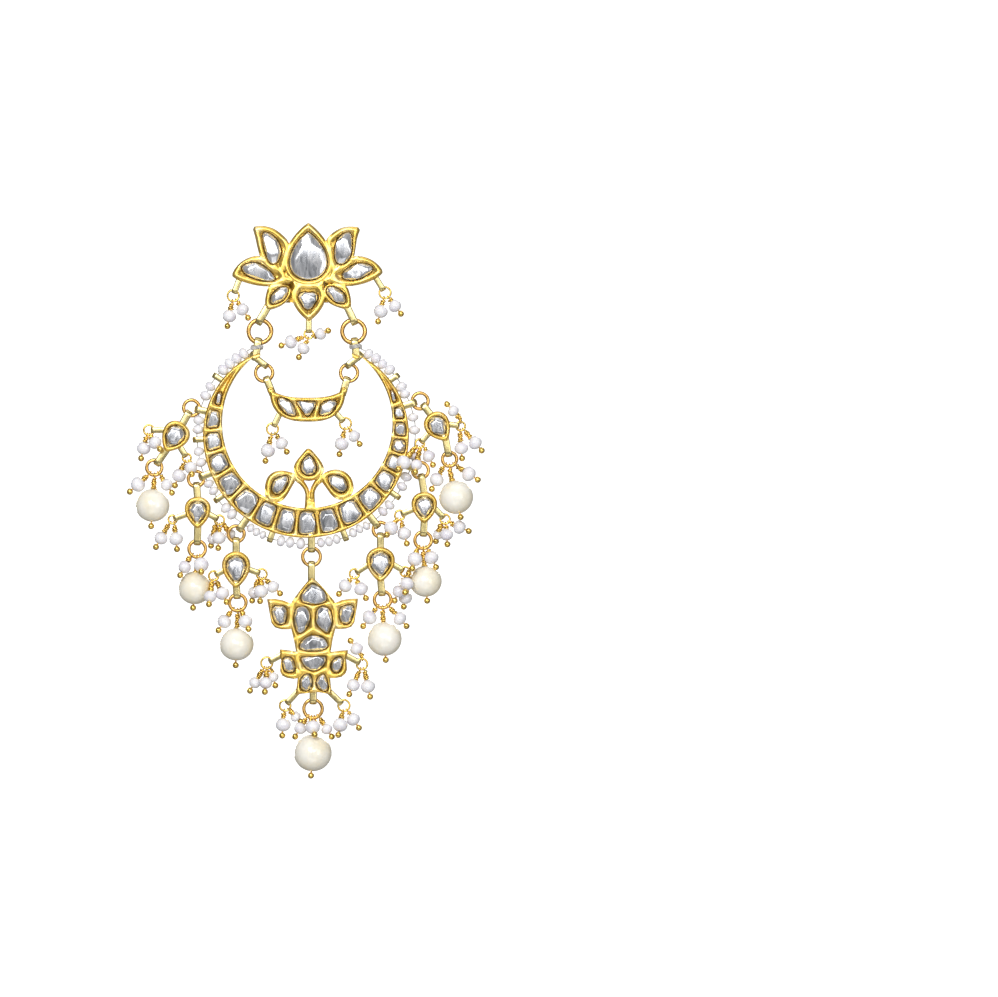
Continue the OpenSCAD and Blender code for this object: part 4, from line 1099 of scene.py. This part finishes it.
class ChandbaliStone(PropertyGroup):
    """Stones and pearls."""
    # Foil tones of the stones: partly the foil's creases, partly painted reflections seen through the stone
    light: colour_prop("Foil light", "Foil seen through the stone", "#C6C8CD")
    dark: colour_prop("Foil dark", "Creases of the foil", "#8C8F94")
    small_pearl: colour_prop("Small pearl", "Body colour of the small pearls", "#FFFEFF")
    large_pearl: colour_prop("Large pearl", "Body colour of the large pearls", "#FFFFFE")
    large_r: length_prop("Lowest pearl", "Radius of the pearl under the fish",
                         (PEARL_HIGH[0] - PEARL_LOW[0]) / 2, 0.0025, 0.0035)
    seeds: IntProperty(name="Seed faces", description="Points round a seed pearl", default=12, min=8, max=20)


class ChandbaliStage(PropertyGroup):
    """Light and backdrop."""
    backdrop: length_prop("Backdrop distance", "Backdrop behind the ear drop", 0.75, 0.1, 2.0)
    key: power_prop("Key light", "Power of the soft light at the upper left", 3.4)
    fill: power_prop("Fill light", "Power of the soft light at the right", 1.6)
    sky: FloatProperty(name="Room light", description="Strength of the even light of the room", default=0.25,
                       min=0, max=5)


# ---------------------------------------------------------------- groups of pieces
def straps_of(name, rows, body, node):
    """Straps of a setting and the blue ovals on their backs. Rows: root, hole, bore, width, wall."""
    made = [strap(*row) for row in rows]
    dress(name + "_straps", [m[0] for m in made], wire_look("strap"), body, [node])
    dress(name + "_strap_enamel", [back_enamel(m[1]) for m in made], blue_look(), body)


def cluster_straps(rows):
    """The strap rows of the jump rings of clusters."""
    bore, width = JUMP_WIRE + JUMP_SLACK, SMALL_STRAP_W + 0.3
    return [[root, hole_of(hoop, JUMP_WIRE, root), bore, width, SMALL_STRAP_WALL] for hoop, root, _ in rows]


def link_strap(hoop, root):
    """The strap row of a link."""
    return [root, hole_of(hoop, LINK_WIRE, root), LINK_WIRE + SLACK, STRAP_W + 0.1, STRAP_WALL]


def top_of(link, r, wire):
    """Where a bore lies at the top of a link."""
    return np.add(link, [0, r - wire - INSET])


def hang(name, rows, extra, body, rings, pearls, pins):
    """Jump rings, small pearls and head pins of several clusters, and the nodes that they stand for."""
    hoops = [ring(c[0][:2], c[0][2], JUMP_WIRE, 44, 10, k) for k, c in enumerate(rows)]
    dress(name + "_jump_rings", hoops, wire_look("pin"), body, [rings])
    balls, wires = [], []
    for k, (hoop, wire, p) in enumerate([(c[0], JUMP_WIRE, p) for c in rows for p in c[2]] + extra):
        if p[2] < LARGE_R:
            _, along, _, _, _, middle = pin_line(hoop, wire, p)
            balls.append(pearl(middle, along, p[2] * 1.06, 11 + 7 * k + int(abs(p[0]) * 10)))
        wires += head_pin(hoop, wire, p)
    dress(name + "_small_pearls", balls, pearl_look("small"), body, [pearls])
    dress(name + "_head_pins", wires, wire_look("pin"), body, [pins])


def big_pearl(node, hoop, p, body, seed):
    """One large pearl, nearly round."""
    _, along, _, _, _, middle = pin_line(hoop, LINK_WIRE, p)
    ball = pearl(middle, along, p[2], seed, 44, 60, 0.985)
    dress(node + "_nacre", [ball], pearl_look("large"), body, [node])


def stones_of(name, openings, body, node, seed):
    """Foiled stones over the pockets of a setting."""
    s = chosen("stone")
    stone = the("uncut_diamond_on_foil", foiled_stone, tuple(s.light), tuple(s.dark))
    made = [uncut(line, seed + k) for k, line in enumerate(openings)]
    dress(name + "_uncut_stones", made, stone, body, [node])


def plate(name, outline, box, front, layers, body, node):
    """A setting's plate: a stone-set face in front, enamel behind."""
    made, marks = relief(outline, box, front, enamelled(layers), chosen("gold").step / MM)
    dress(name + "_dressed", [made], setting_look(), body, [node], marks)


def setting(name, rims, cells, layers, body, node, seed, **style):
    """A plate whose outline is that of all its rims together."""
    spread_out = np.vstack(rims)
    front = gold_front(rims, cells, chosen("gold").roll / MM, seed, **style)
    plate(name, union(*rims), (*spread_out.min(0), *spread_out.max(0)), front, layers, body, node)


class CHANDBALI_OT_lotus(Operator):
    """Lotus setting, its stones, post, brackets and straps"""
    bl_idname = "chandbali.lotus"
    bl_label = "Lotus"

    def execute(self, context):
        foot = np.array([[-2.6, -3.6], [2.6, -3.6], [2.6, -1.8], [-2.6, -1.8]])
        knobs = [np.array([x, -1.6]) + circle(1, 20) for x in (-3.4, 3.4)]
        rims = [foot, *knobs, *LOTUS_PETALS[:2], LOTUS_LOWER, *LOTUS_PETALS[2:], LOTUS_MIDDLE]
        cells = LOTUS_CELLS + [LOTUS_MIDDLE_CELL, grown(LOTUS_LOWER_CELL, 0.1)]
        whole = union(*rims)
        layers = [(lambda p, d=d: whole(p) + d, colour)
                  for d, colour in ((0.3, "blue"), (0.78, None), (0.95, "white"))]
        for s in (-1, 1):
            for x0, y0, x1, y1, left, right, colour in (
                (7.3, 5.4, 5.2, 1.3, 0.65, 0.65, "green"), (4.7, 2.2, 3.2, 3.5, 0.8, 0.8, "green"),
                (10.6, -0.7, 7.2, 0.5, 0.45, 0.5, "green"), (9.0, -1.7, 5.3, 0.0, 0.9, 0.8, "red"),
                (4.6, -1.9, 3.3, 0.9, 0.55, 0.6, "green"), (5.9, -5.6, 4.9, -2.8, 0.6, 0.6, "green"),
                (2.4, 3.6, 2.2, 0.6, 0.7, 0.7, "red"), (0.9, -5.6, 0.7, -3.2, 0.5, 0.5, "green"),
            ):
                layers += inlay(leaf([s * x0, y0], [s * x1, y1], left, right), colour)
        setting("lotus_setting", rims, cells, layers, "lotus", "lotus_setting", 3, rim_w=1.1, line_w=1.2)
        stones_of("lotus", cells[2:6] + cells[:2] + cells[6:], "lotus", "lotus_stones", 20)
        rows = [[LOTUS_ROOTS[i], top_of(MAIN_LINKS[i], MAIN_R, MAIN_WIRE), MAIN_WIRE + SLACK, WIDE_STRAP_W,
                 STRAP_WALL] for i in (0, 1)]
        straps_of("lotus", rows + cluster_straps(LOTUS_CLUSTERS), "lotus", "lotus_setting")
        # Post: its profile steps in where the clutch snaps on and ends in a rounded tip
        a = np.linspace(0, np.pi / 2, 6)
        post = [(0.3, 0), (0.3, POST_R), (-7.9, POST_R), (-8.1, POST_R - 0.1), (-10.6, POST_R - 0.1)]
        post += [(-10.65 - 0.35 * np.sin(v), 0.35 * np.cos(v)) for v in a] + [(-11, 0)]
        parts = [lathe(post, [0, 0, 0], [0, 0, 1], 24)]
        barrel = [(-0.7, 0), (-0.7, 0.72), (-0.62, 0.8), (0.62, 0.8), (0.7, 0.72), (0.7, 0)]
        wide = np.array([1.25, 1.0, 1.0, 1.0, 0.85])[:, None, None]
        for x in (-BRACKET_X, BRACKET_X):
            path = np.array([[x, BRACKET_Y, z] for z in (0.25, -0.2, -3, -5.5, -6.2)])
            parts.append(sweep(path, [1, 0, 0], soft_box(0.68, 0.78, 24)[None] * wide))
            parts.append(lathe(barrel, [x, BRACKET_Y, -7], [1, 0, 0], 32))
        # Small eye soldered above the post
        out = np.column_stack((np.zeros(30), ray(around(30))))
        parts.append(sweep(np.array([0.2, 6, -0.75]) + 0.52 * out, out, soft_box(0.18, 0.5, 12), loop=True))
        dress("ear_post_and_brackets", parts, wire_look("clip"), "lotus", ["lotus_setting"],
              sharp=50)
        ovals = [lens([x, BRACKET_Y + s * 0.795, -3.2], [0, 0, 1], [0, s, 0], 1.5, 0.36, 0.05)
                 for s in (1, -1) for x in (-BRACKET_X, BRACKET_X)]
        dress("bracket_enamel", ovals, blue_look(), "lotus")
        return {"FINISHED"}


class CHANDBALI_OT_fastening(Operator):
    """Clutch with its domed disc and box, and the omega lever on its rod"""
    bl_idname = "chandbali.fastening"
    bl_label = "Clutch and lever"

    def execute(self, context):
        # Disc: share of its radius and depth of each row; flutes draw the outer rows in
        lobes, t = 16, around(128)
        s = np.array([0, 0.3, 0.55, 0.75, 0.9, 0.975, 1.0, 0.985, 0.9, 0.6, 0.3, 0.0])[:, None]
        z = np.array([1.05, 1.03, 0.95, 0.8, 0.56, 0.36, 0.2, 0.06, 0.0, 0.0, 0.0, 0.0])[:, None]
        domed = (np.arange(12) < 7)[:, None]
        valley = 1 - np.abs(np.cos(lobes / 2 * t))
        r = DISC_R * s * (1 - 0.055 * valley * s ** 3)
        deep = z - 0.13 * valley * (s ** 2) * domed
        parts = [shell(np.stack((r * np.cos(t), r * np.sin(t), -LOBE - deep), -1))]
        # Box of the nut, turned by an eighth: four walls and a block
        c, d = np.cos(np.pi / 4), np.sin(np.pi / 4)
        wide = np.array([0.97, 1, 1, 0.95])[:, None, None]
        for along, across, half_l, half_w, high in (
            (1.72, 0, 0.58, 1.7, 3.4), (-1.72, 0, 0.58, 1.7, 3.4), (0, 1.42, 1.3, 0.28, 2.9),
            (0, -1.42, 1.3, 0.28, 2.9), (0, 0, 1.4, 1.3, 1.6),
        ):
            x, y = along * c - across * d, along * d + across * c
            path = np.array([[x, y, -LOBE - h] for h in (0.8, 0.8 + 0.08, high - 0.08, high)])
            parts.append(sweep(path, [c, d, 0], soft_box(half_l, half_w, 28, 0.25)[None] * wide))
        dress("scalloped_clutch", parts, wire_look("clip"), "clutch", ["clutch"], sharp=40)
        for key in ("hinge_rod", "omega_lever"):
            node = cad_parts[key]
            node.data.materials.clear()
            node.data.materials.append(wire_look("clip"))
        return {"FINISHED"}


class CHANDBALI_OT_crescent(Operator):
    """Crescent with its three-lobed bud, stones, straps and thread windings"""
    bl_idname = "chandbali.crescent"
    bl_label = "Crescent"

    def execute(self, context):
        a = np.radians(1.5 * np.arange(240))
        rim = EDGE_C + edge_r(np.degrees(np.arcsin(np.sin(a))))[:, None] * ray(a)
        knobs = [np.array(p) + circle(0.72, 24) for p in TIPS]
        bud = [BUD_STEM] + BUD_ARMS + BUD_PEARS
        cells = [crescent_cell(i) for i in range(18)]
        for i, c in enumerate(cells):
            m = c.mean(0)
            u = unit(m - OPEN_C)
            cells[i] = m + 0.9 * (c - m) + 0.08 * ((c - m) @ u)[:, None] * u
        # The end cells are slivers
        for i, inward in ((0, 0.12), (17, -0.12)):
            c = cells[i].mean(0) - [0, 0.25]
            cells[i] = c + (cells[i] - c) * [0.55, 0.8] + [inward, 0]

        def band(p):
            r = np.hypot(*(p - EDGE_C).T)
            up = np.degrees(np.arcsin(np.clip((p[:, 1] - EDGE_C[1]) / np.maximum(r, 1e-6), -1, 1)))
            return np.maximum(r - edge_r(up), OPEN_R - np.hypot(*(p - OPEN_C).T))

        def whole(p):
            return np.minimum(band(p), union(*bud, *knobs)(p))

        layers = [(lambda p: band(p) + 0.3, "green")]
        for s in (-1, 1):
            def at(d, r):
                return round_crescent(d, r, s)
            for half, path in (
                (0.08, ((2, 17.9), (8, 16.3), (16, 15.7), (23, 15.9), (30, 16.9), (40, 17.3), (52, 17.3),
                        (63, 16.9), (72, 16.4), (78, 16.2), (86, 16.4))),
                (0.07, ((16, 15.7), (26, 14.9), (34, 15.3))), (0.07, ((40, 17.3), (47, 16.0), (49, 15.3))),
                (0.14, ((72, 16.4), (75, 15.9), (74.5, 15.3), (72, 15.2), (71, 15.6))),
            ):
                layers.append((stroke([at(*q) for q in path], half), None))
            for line, colour in (
                (leaf(at(9.2, 16.9), at(16.1, 18.2), 0.42, 0.42), "blue"),
                (drop(at(24.2, 17.05), 1.5, 2.1, -s * 24), "red"),
                (leaf(at(32, 15.5), at(42.5, 15.8), 0.45, 0.4), "blue"),
                (drop(at(51, 16.3), 1.5, 2.4, -s * 10), "red"),
                (drop(at(61.3, 16.1), 1.0, 1.6, s * 12), "blue"),
                (leaf(at(80, 16.0), at(92, 15.25), 0.4, 0.4), "blue"),
                (leaf([s * 0.35 - 0.3, -43.7], [s * 1.75 - 0.3, -43.1], 0.4, 0.4), "orange"),
            ):
                layers += inlay(line, colour, 0.14)
        layers += inlay(leaf([-0.3, -43.9], [-0.3, -41.6], 0.45, 0.45), "red", 0.14)
        for c in BUD_PEARS:
            layers += [(shape(c), None), (shape(c, -0.5), "white")]
        for x, y, lean in ((0.04, -32.77, 0), (-4.5, -36.2, 52), (4.75, -36.1, -52)):
            for x0, x1, y1, left, right, colour in ((0, 0, 2.0, 1.15, 1.15, "red"),
                                                    (-0.25, -1.6, -0.9, 0.35, 0.4, "green"),
                                                    (0.25, 1.6, -0.9, 0.4, 0.35, "green")):
                ends = [placed(*q, lean, [x, y]) for q in ((x0, -1.9), (x1, y1))]
                layers += inlay(leaf(*ends, left, right), colour, 0.12)
        rise, band_w = chosen("gold").roll / MM, 0.62
        front = gold_front([rim] + bud, cells + BUD_CELLS, rise, 9, 1.1)
        plain = gold_front([rim], cells, rise * 0.95, 9, band_w)

        def face(p):
            """Bud as usual; on the band a plain roll follows the opening and the outer edge."""
            h, wear = front(p)
            band_h, band_wear = plain(p)
            b = band(p)
            near = np.min([distance(p, c) for c in cells], axis=0)
            roll = np.where(-b < band_w, rolled(-b / (band_w / 2) - 1), 0)
            band_h = np.where(near > 0, np.maximum(band_h, 1.76 + 0.44 * roll), band_h)
            inside = (b < 0) & ~(union(*bud)(p) < 0)
            # The second value is painted shade, kept light on the band's plain roll
            return (np.where(inside, band_h, h),
                    np.where(inside, np.where(roll > 0.5, 0.1, band_wear), wear))

        plate("crescent_and_bud", whole, (-17.7, -45.1, 16.9, -13.5), face, layers, "crescent",
              "crescent_setting")
        stones_of("crescent", cells, "crescent", "crescent_stones", 60)
        stones_of("bud", BUD_CELLS, "crescent", "bud_stones", 90)
        rows = []
        for i in (0, 1):
            hole = hole_of([*MAIN_LINKS[i], MAIN_R], MAIN_WIRE, TIPS[i])
            rows += [[TIPS[i], hole, MAIN_WIRE + SLACK, WIDE_STRAP_W, STRAP_WALL],
                     [BOAT_ROOTS[i], top_of(BOAT_LINKS[i], BOAT_R, LINK_WIRE), LINK_WIRE + SLACK, STRAP_W,
                      STRAP_WALL]]
        rows += [link_strap(hoop, edge_at(-1 if i < 3 else 1, link_height(i), SUNK))
                 for i, hoop in enumerate(PEAR_LINKS)]
        rows.append(link_strap([*FISH_LINK, FISH_R], [FISH_LINK[0], -44.8]))
        rows += [[edge_at(side, h, SUNK), edge_at(side, h, 1.1), 0.38, 1, STRAP_WALL]
                 for side, heights in ((-1, PLAIN_LEFT), (1, PLAIN_RIGHT)) for h in heights]
        straps_of("crescent", rows, "crescent", "crescent_setting")
        # Thread wound seven and a half times round each tip
        w = 2 * np.pi * 7.5 * np.arange(150) / 150
        out = np.column_stack((np.cos(w), 0.12 * np.sin(2 * w), 1.18 * np.sin(w)))
        wound = []
        for x, y in ((-8.6, -13.45), (7.85, -13.3)):
            path = np.array([x, y, MID]) + 0.93 * out * (1 + 0.05 * np.sin(3.1 * w))[:, None]
            path[:, 1] += 0.42 * np.sin(w / 15)
            wound.append(sweep(path, [0, 1, 0], circle(0.14, 7)))
        dress("thread_windings", wound, thread_look(), "crescent")
        return {"FINISHED"}


class CHANDBALI_OT_seed_strings(Operator):
    """Strings of seed pearls round the crescent's outer edge"""
    bl_idname = "chandbali.seed_strings"
    bl_label = "Seed pearl strings"

    def execute(self, context):
        per_mm = np.degrees(1 / (EDGE_R + 1))
        # Straps that the strings pass: height, half the room each takes, pearls before it
        at = [link_height(i) for i in range(6)]
        left = [(56.5, 0.5, 0), (33, 0.8, 4), (at[0], 0.8, 2), (-2.5, 0.8, 2), (at[1], 0.8, 2), (-36, 0.8, 2),
                (at[2], 0.8, 2), (-71, 0.8, 3), (-93, 0.9, 3)]
        right = [(56.5, 0.5, 0), (33, 0.8, 4), (at[3], 0.8, 2), (-4.3, 0.8, 2), (at[4], 0.8, 1),
                 (-34, 0.8, 2), (at[5], 0.8, 2), (-69, 0.8, 3), (-87.2, 0.9, 3)]
        for side, stops, name in ((-1, left, "left"), (1, right, "right")):
            rng = np.random.default_rng(5 + side)
            balls = []
            for (h0, w0, _), (h1, w1, count) in zip(stops[:-1], stops[1:]):
                a, b = h0 - w0 * per_mm, h1 + w1 * per_mm
                size = min(0.76, (a - b) / per_mm / count / 2 * 0.99)
                first = (a - b) / 2 - size * count * per_mm
                for k in range(count):
                    e = a - first - (2 * k + 1) * size * per_mm + first * 0.5 * rng.uniform(-1, 1)
                    p = edge_at(side, e, 0.95 + rng.uniform(-0.1, 0.08))
                    along = np.array([side * np.sin(np.radians(e)), -np.cos(np.radians(e)), 0])
                    r = size * rng.uniform(1.2, 1.34)
                    balls.append(pearl([p[0], p[1], MID + rng.uniform(-0.1, 0.1)], along, r,
                                       int(200 + 9 * k + abs(h0) * 5), 13, chosen("stone").seeds + 6, 0.82))
            e = np.linspace(stops[0][0] + 1, stops[-1][0], 150)
            path = np.column_stack((edge_at(side, e, 1.05 + 0.05 * np.sin(e / 4)), np.full(len(e), MID)))
            node = "seed_string_" + name
            dress("seed_pearls_" + name, balls, pearl_look("small"), "crescent", [node])
            dress("seed_thread_" + name, [sweep(path, [0, 0, 1], circle(0.1, 7))], thread_look(), "crescent",
                  [node])
        return {"FINISHED"}


class CHANDBALI_OT_pears(Operator):
    """Six pear settings with their stones and straps"""
    bl_idname = "chandbali.pears"
    bl_label = "Pear settings"

    def execute(self, context):
        for i, (x, y, w, h, lean) in enumerate(PEARS):
            name, node = f"pear_{i + 1}", f"pear_setting_{i + 1}"
            line = drop([x, y], w, -h, lean)
            tear = drop(placed(0, -1.15, lean, [x, y]), 1.15, 2.9, lean)
            layers = [(shape(line, -0.42), "red")] + inlay(tear, "blue", 0.15)
            setting(name, [line], [pear_cell(i)], layers, "crescent", node, 30 + i, rim_w=1.2)
            rows = [link_strap(PEAR_LINKS[i], pear_end(i, 1)), link_strap(DROP_RINGS[i], pear_end(i, -0.9))]
            straps_of(name, rows + cluster_straps(PEAR_CLUSTERS[2 * i:2 * i + 2]), "crescent", node)
        stones_of("pear", [pear_cell(i) for i in range(6)], "crescent", "pear_stones", 120)
        return {"FINISHED"}


class CHANDBALI_OT_boat(Operator):
    """Boat setting with its stones and straps"""
    bl_idname = "chandbali.boat"
    bl_label = "Boat"

    def execute(self, context):
        knobs = [np.array([c[0], c[1] - 0.1]) + circle(0.6, 24) for c in BOAT_CORNERS]
        cells = BOAT_CELLS + [BOAT_MIDDLE_CELL]
        layers = [(shape(BOAT_OUTLINE, -0.45), "white")]
        for s in (-1, 1):
            for x0, y0, x1, y1, out, colour in ((5.2, -21.2, 2.7, -23.4, 0.55, "orange"),
                                                (1.9, -22.1, 1.7, -24.0, 0.42, "green"),
                                                (1.3, -25.0, 3.2, -24.2, 0.34, "green")):
                layers += inlay(leaf([s * x0 - 0.15, y0], [s * x1 - 0.15, y1], out, out), colour)
        layers += inlay(drop([-0.15, -23.6], 2.1, 2.9), "red", 0.15)
        setting("boat", knobs + [BOAT_OUTLINE], cells, layers, "boat", "boat_setting", 50, rim_w=0.9)
        stones_of("boat", cells, "boat", "boat_stones", 140)
        rows = [link_strap([*BOAT_LINKS[i], BOAT_R], BOAT_CORNERS[i]) for i in (0, 1)]
        straps_of("boat", rows + cluster_straps(BOAT_CLUSTERS), "boat", "boat_setting")
        return {"FINISHED"}


class CHANDBALI_OT_fish(Operator):
    """Fish setting with its stones and straps"""
    bl_idname = "chandbali.fish"
    bl_label = "Fish"

    def execute(self, context):
        fins, c = FISH_UPPER + FISH_LOWER, FISH_MIDDLE
        rims = FISH_LOWER + [FISH_BLOCK] + FISH_UPPER + [FISH_BODY]
        layers = [(shape(line), colour) for line, colour in zip(FISH_FIELDS, ("red", "blue", "orange"))]
        layers += [(shape(f, -0.42), "red") for f in fins]
        # Lines of bare gold: brow, eyes, rows of scales that fan out, strokes of tail and fins
        layers.append((shape(leaf([c, -53.0], [c, -55.7], 0.5, 0.5)), None))
        layers += [(lambda p, x=x: np.hypot(p[:, 0] - x, p[:, 1] + 56.9) - 0.55, None)
                   for x in (c - 1.33, c + 1.33)]
        marks = []
        for y, fan, xs in ((-60.1, 0.0, (-2.3, -1.5, -0.8, 0.8, 1.5, 2.3)),
                           (-62.2, 0.5, (-1.9, -1.1, -0.4, 0.4, 1.1, 1.9)),
                           (-64.3, 0.0, (-1.9, -1.1, -0.45, 0.45, 1.1, 1.9)),
                           (-66.2, 0.6, (-1.1, -0.55, 0, 0.55, 1.1))):
            marks += [([c + x * (1 - 0.55 * fan), y + 0.85], [c + x, y - 0.4], 0.2) for x in xs]
        marks += [([c + x * 0.7, -68.2], [c + x, -69.9], 0.13) for x in (-1.9, -0.9, 0.9, 1.9)]
        for f in fins:
            m = f.mean(0) + [0.1 * np.sign(f[0][0]), 0.0]
            marks += [(m + [k * 1.3, 0.9 - abs(k)], m + [k - 0.15, -0.8], 0.17) for k in (-0.35, 0.0, 0.35)]
        layers += [(shape(leaf(start, end, half, half, 6)), None) for start, end, half in marks]
        setting("fish", rims, FISH_STONES, layers, "fish", "fish_setting", 70, rim_w=1.0, line_w=1.1)
        stones_of("fish", FISH_STONES, "fish", "fish_stones", 160)
        rows = [link_strap([*FISH_LINK, FISH_R], FISH_APEX), link_strap(FISH_RING, [0.8, -70.6])]
        straps_of("fish", rows + cluster_straps(FISH_CLUSTERS), "fish", "fish_setting")
        return {"FINISHED"}


class CHANDBALI_OT_links(Operator):
    """Links and lower rings of drawn wire"""
    bl_idname = "chandbali.links"
    bl_label = "Links"

    def execute(self, context):
        rows = [(f"{kind}_{side}", c, r, wire, body)
                for kind, links, r, wire, body in (("main_link", MAIN_LINKS, MAIN_R, MAIN_WIRE, "crescent"),
                                                   ("boat_link", BOAT_LINKS, BOAT_R, LINK_WIRE, "boat"))
                for side, c in zip(("left", "right"), links)]
        rows.append(("fish_link", FISH_LINK, FISH_R, LINK_WIRE, "fish"))
        rows += [(f"{kind}_{i + 1}", (x, y), r, LINK_WIRE, "crescent")
                 for kind, hoops in (("pear_link", PEAR_LINKS), ("drop_ring", DROP_RINGS))
                 for i, (x, y, r) in enumerate(hoops)]
        for k, (node, c, r, wire, body) in enumerate(rows):
            dress(node + "_wire", [ring(c, r, wire, seed=k)], wire_look("link"), body, [node])
        under = ring(FISH_RING[:2], FISH_RING[2], LINK_WIRE, seed=40)
        dress("fish_drop_ring_wire", [under], wire_look("link"), "fish", ["fish_rings"])
        return {"FINISHED"}


class CHANDBALI_OT_clusters(Operator):
    """Small pearls on head pins with their jump rings"""
    bl_idname = "chandbali.clusters"
    bl_label = "Pearl clusters"

    def execute(self, context):
        on_fish = [(FISH_RING, LINK_WIRE, p) for p in FISH_DROPS + [FISH_PEARL]]
        for name, rows, extra in (("lotus", LOTUS_CLUSTERS, []), ("boat", BOAT_CLUSTERS, []),
                                  ("fish", FISH_CLUSTERS, on_fish)):
            hang(name, rows, extra, name, name + "_rings", name + "_pearls", name + "_pins")
        for name, first in (("left", 0), ("right", 3)):
            extra = [(DROP_RINGS[i], LINK_WIRE, p) for i in range(first, first + 3)
                     for p in DROP_PEARLS[i] + [LARGE_PEARLS[i]]]
            hang("pears_" + name, PEAR_CLUSTERS[2 * first:2 * first + 6], extra, "crescent",
                 "pear_rings", "pear_pearls_" + name, "pear_pins_" + name)
        return {"FINISHED"}


class CHANDBALI_OT_large_pearls(Operator):
    """Seven large pearls"""
    bl_idname = "chandbali.large_pearls"
    bl_label = "Large pearls"

    def execute(self, context):
        for i in range(6):
            big_pearl(f"large_pearl_{i + 1}", DROP_RINGS[i], LARGE_PEARLS[i], "crescent", 300 + i)
        lowest = [*FISH_PEARL[:2], chosen("stone").large_r / MM, *FISH_PEARL[3:]]
        big_pearl("fish_large_pearl", FISH_RING, lowest, "fish", 310)
        return {"FINISHED"}


class CHANDBALI_OT_stage(Operator):
    """Pale backdrop, soft lights and the camera"""
    bl_idname = "chandbali.stage"
    bl_label = "Stage"

    def execute(self, context):
        scene, s = context.scene, chosen("stage")
        # White acrylic lit from behind, as on a packshot table: even and shadowless
        m, tree, shader, _ = new_material("opal_acrylic_backdrop")
        feed(tree, shader, {"Base Color": (0.3, 0.3, 0.3, 1), "Roughness": 0.6,
                            "Emission Color": (1, 1, 1, 1), "Emission Strength": 1.1})
        # One flat panel far behind, a little larger than the camera sees
        mesh = bpy.data.meshes.new("lit_panel")
        corners = [[x, s.backdrop, z] for z in (-0.26, 0.18) for x in (-0.22, 0.22)]
        mesh.from_pydata(corners, [], [[0, 1, 3, 2]])
        mesh.materials.append(m)
        panel = bpy.data.objects.new("lit_panel", mesh)
        scene.collection.objects.link(panel)
        middle = Vector((0, 0, (cad_low[2] + cad_high[2]) / 2))
        for name, place, size, power in (
            ("key_softbox", (-0.2, -0.8, 0.33), (0.26, 0.26), s.key),
            ("fill_softbox", (0.5, -0.7, 0.0), (0.3, 0.5), s.fill * 0.8),
            ("top_softbox", (0.0, -0.12, 0.62), (0.6, 0.35), s.fill * 0.6),
            ("low_softbox", (0.0, -0.55, -0.6), (0.6, 0.3), s.fill * 0.5),
            ("front_softbox", (0.0, -1.15, 0.24), (0.9, 0.3), s.fill * 2.4),
            ("rear_softbox", (0.3, 1.0, 0.4), (0.4, 0.4), s.fill * 2.2),
            ("rear_left_softbox", (-0.45, 0.9, 0.05), (0.3, 0.5), s.fill * 1.6),
        ):
            data = bpy.data.lights.new(name, "AREA")
            data.shape, data.size, data.size_y, data.energy = "RECTANGLE", *size, power
            lamp = bpy.data.objects.new(name, data)
            lamp.location = place
            lamp.rotation_euler = (middle - Vector(place)).to_track_quat("-Z", "Y").to_euler()
            scene.collection.objects.link(lamp)
        world = bpy.data.worlds.new("even_room")
        world.use_nodes = True
        sky = next(n for n in world.node_tree.nodes if n.type == "BACKGROUND")
        feed(world.node_tree, sky, {"Color": (1, 1, 1, 1), "Strength": s.sky})
        scene.world = world
        scene.view_settings.view_transform = "Standard"
        # 200 mm lens on a frame 36 mm wide, 924 mm in front: six pixels to the millimetre
        data = bpy.data.cameras.new("camera")
        data.lens, data.sensor_width, data.clip_start, data.clip_end = 200, 36, 0.05, 10
        camera = bpy.data.objects.new("camera", data)
        camera.location = (0.03175, -0.9251, -0.0384)
        camera.rotation_euler = (np.pi / 2, 0, 0)
        scene.collection.objects.link(camera)
        scene.camera = camera
        return {"FINISHED"}


class CHANDBALI_PT_panel(Panel):
    """Lists what can be set, and the pieces"""
    bl_label = "Chandbali ear drop"
    bl_space_type = "VIEW_3D"
    bl_region_type = "UI"
    bl_category = "Chandbali"

    def draw(self, context):
        for name, kind in GROUPS.items():
            part = self.layout.box()
            for key in kind.__annotations__:
                part.prop(chosen(name), key)
        for kind in PIECES:
            self.layout.operator(kind.bl_idname)


GROUPS = {"gold": ChandbaliGold, "enamel": ChandbaliEnamel, "stone": ChandbaliStone, "stage": ChandbaliStage}
PIECES = (CHANDBALI_OT_stage, CHANDBALI_OT_lotus, CHANDBALI_OT_fastening, CHANDBALI_OT_crescent,
          CHANDBALI_OT_seed_strings, CHANDBALI_OT_pears, CHANDBALI_OT_boat, CHANDBALI_OT_fish,
          CHANDBALI_OT_links, CHANDBALI_OT_clusters, CHANDBALI_OT_large_pearls)


def register():
    """Registers the settings, the operators and the panel."""
    for name, kind in GROUPS.items():
        bpy.utils.register_class(kind)
        setattr(bpy.types.Scene, "chandbali_" + name, PointerProperty(type=kind))
    for kind in PIECES + (CHANDBALI_PT_panel,):
        bpy.utils.register_class(kind)


def unregister():
    """Takes them away again."""
    for kind in reversed(PIECES + (CHANDBALI_PT_panel,)):
        bpy.utils.unregister_class(kind)
    for name, kind in reversed(GROUPS.items()):
        delattr(bpy.types.Scene, "chandbali_" + name)
        bpy.utils.unregister_class(kind)


def main():
    """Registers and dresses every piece."""
    register()
    for kind in PIECES:
        group, key = kind.bl_idname.split(".")
        getattr(getattr(bpy.ops, group), key)()


if __name__ == "__main__":
    main()
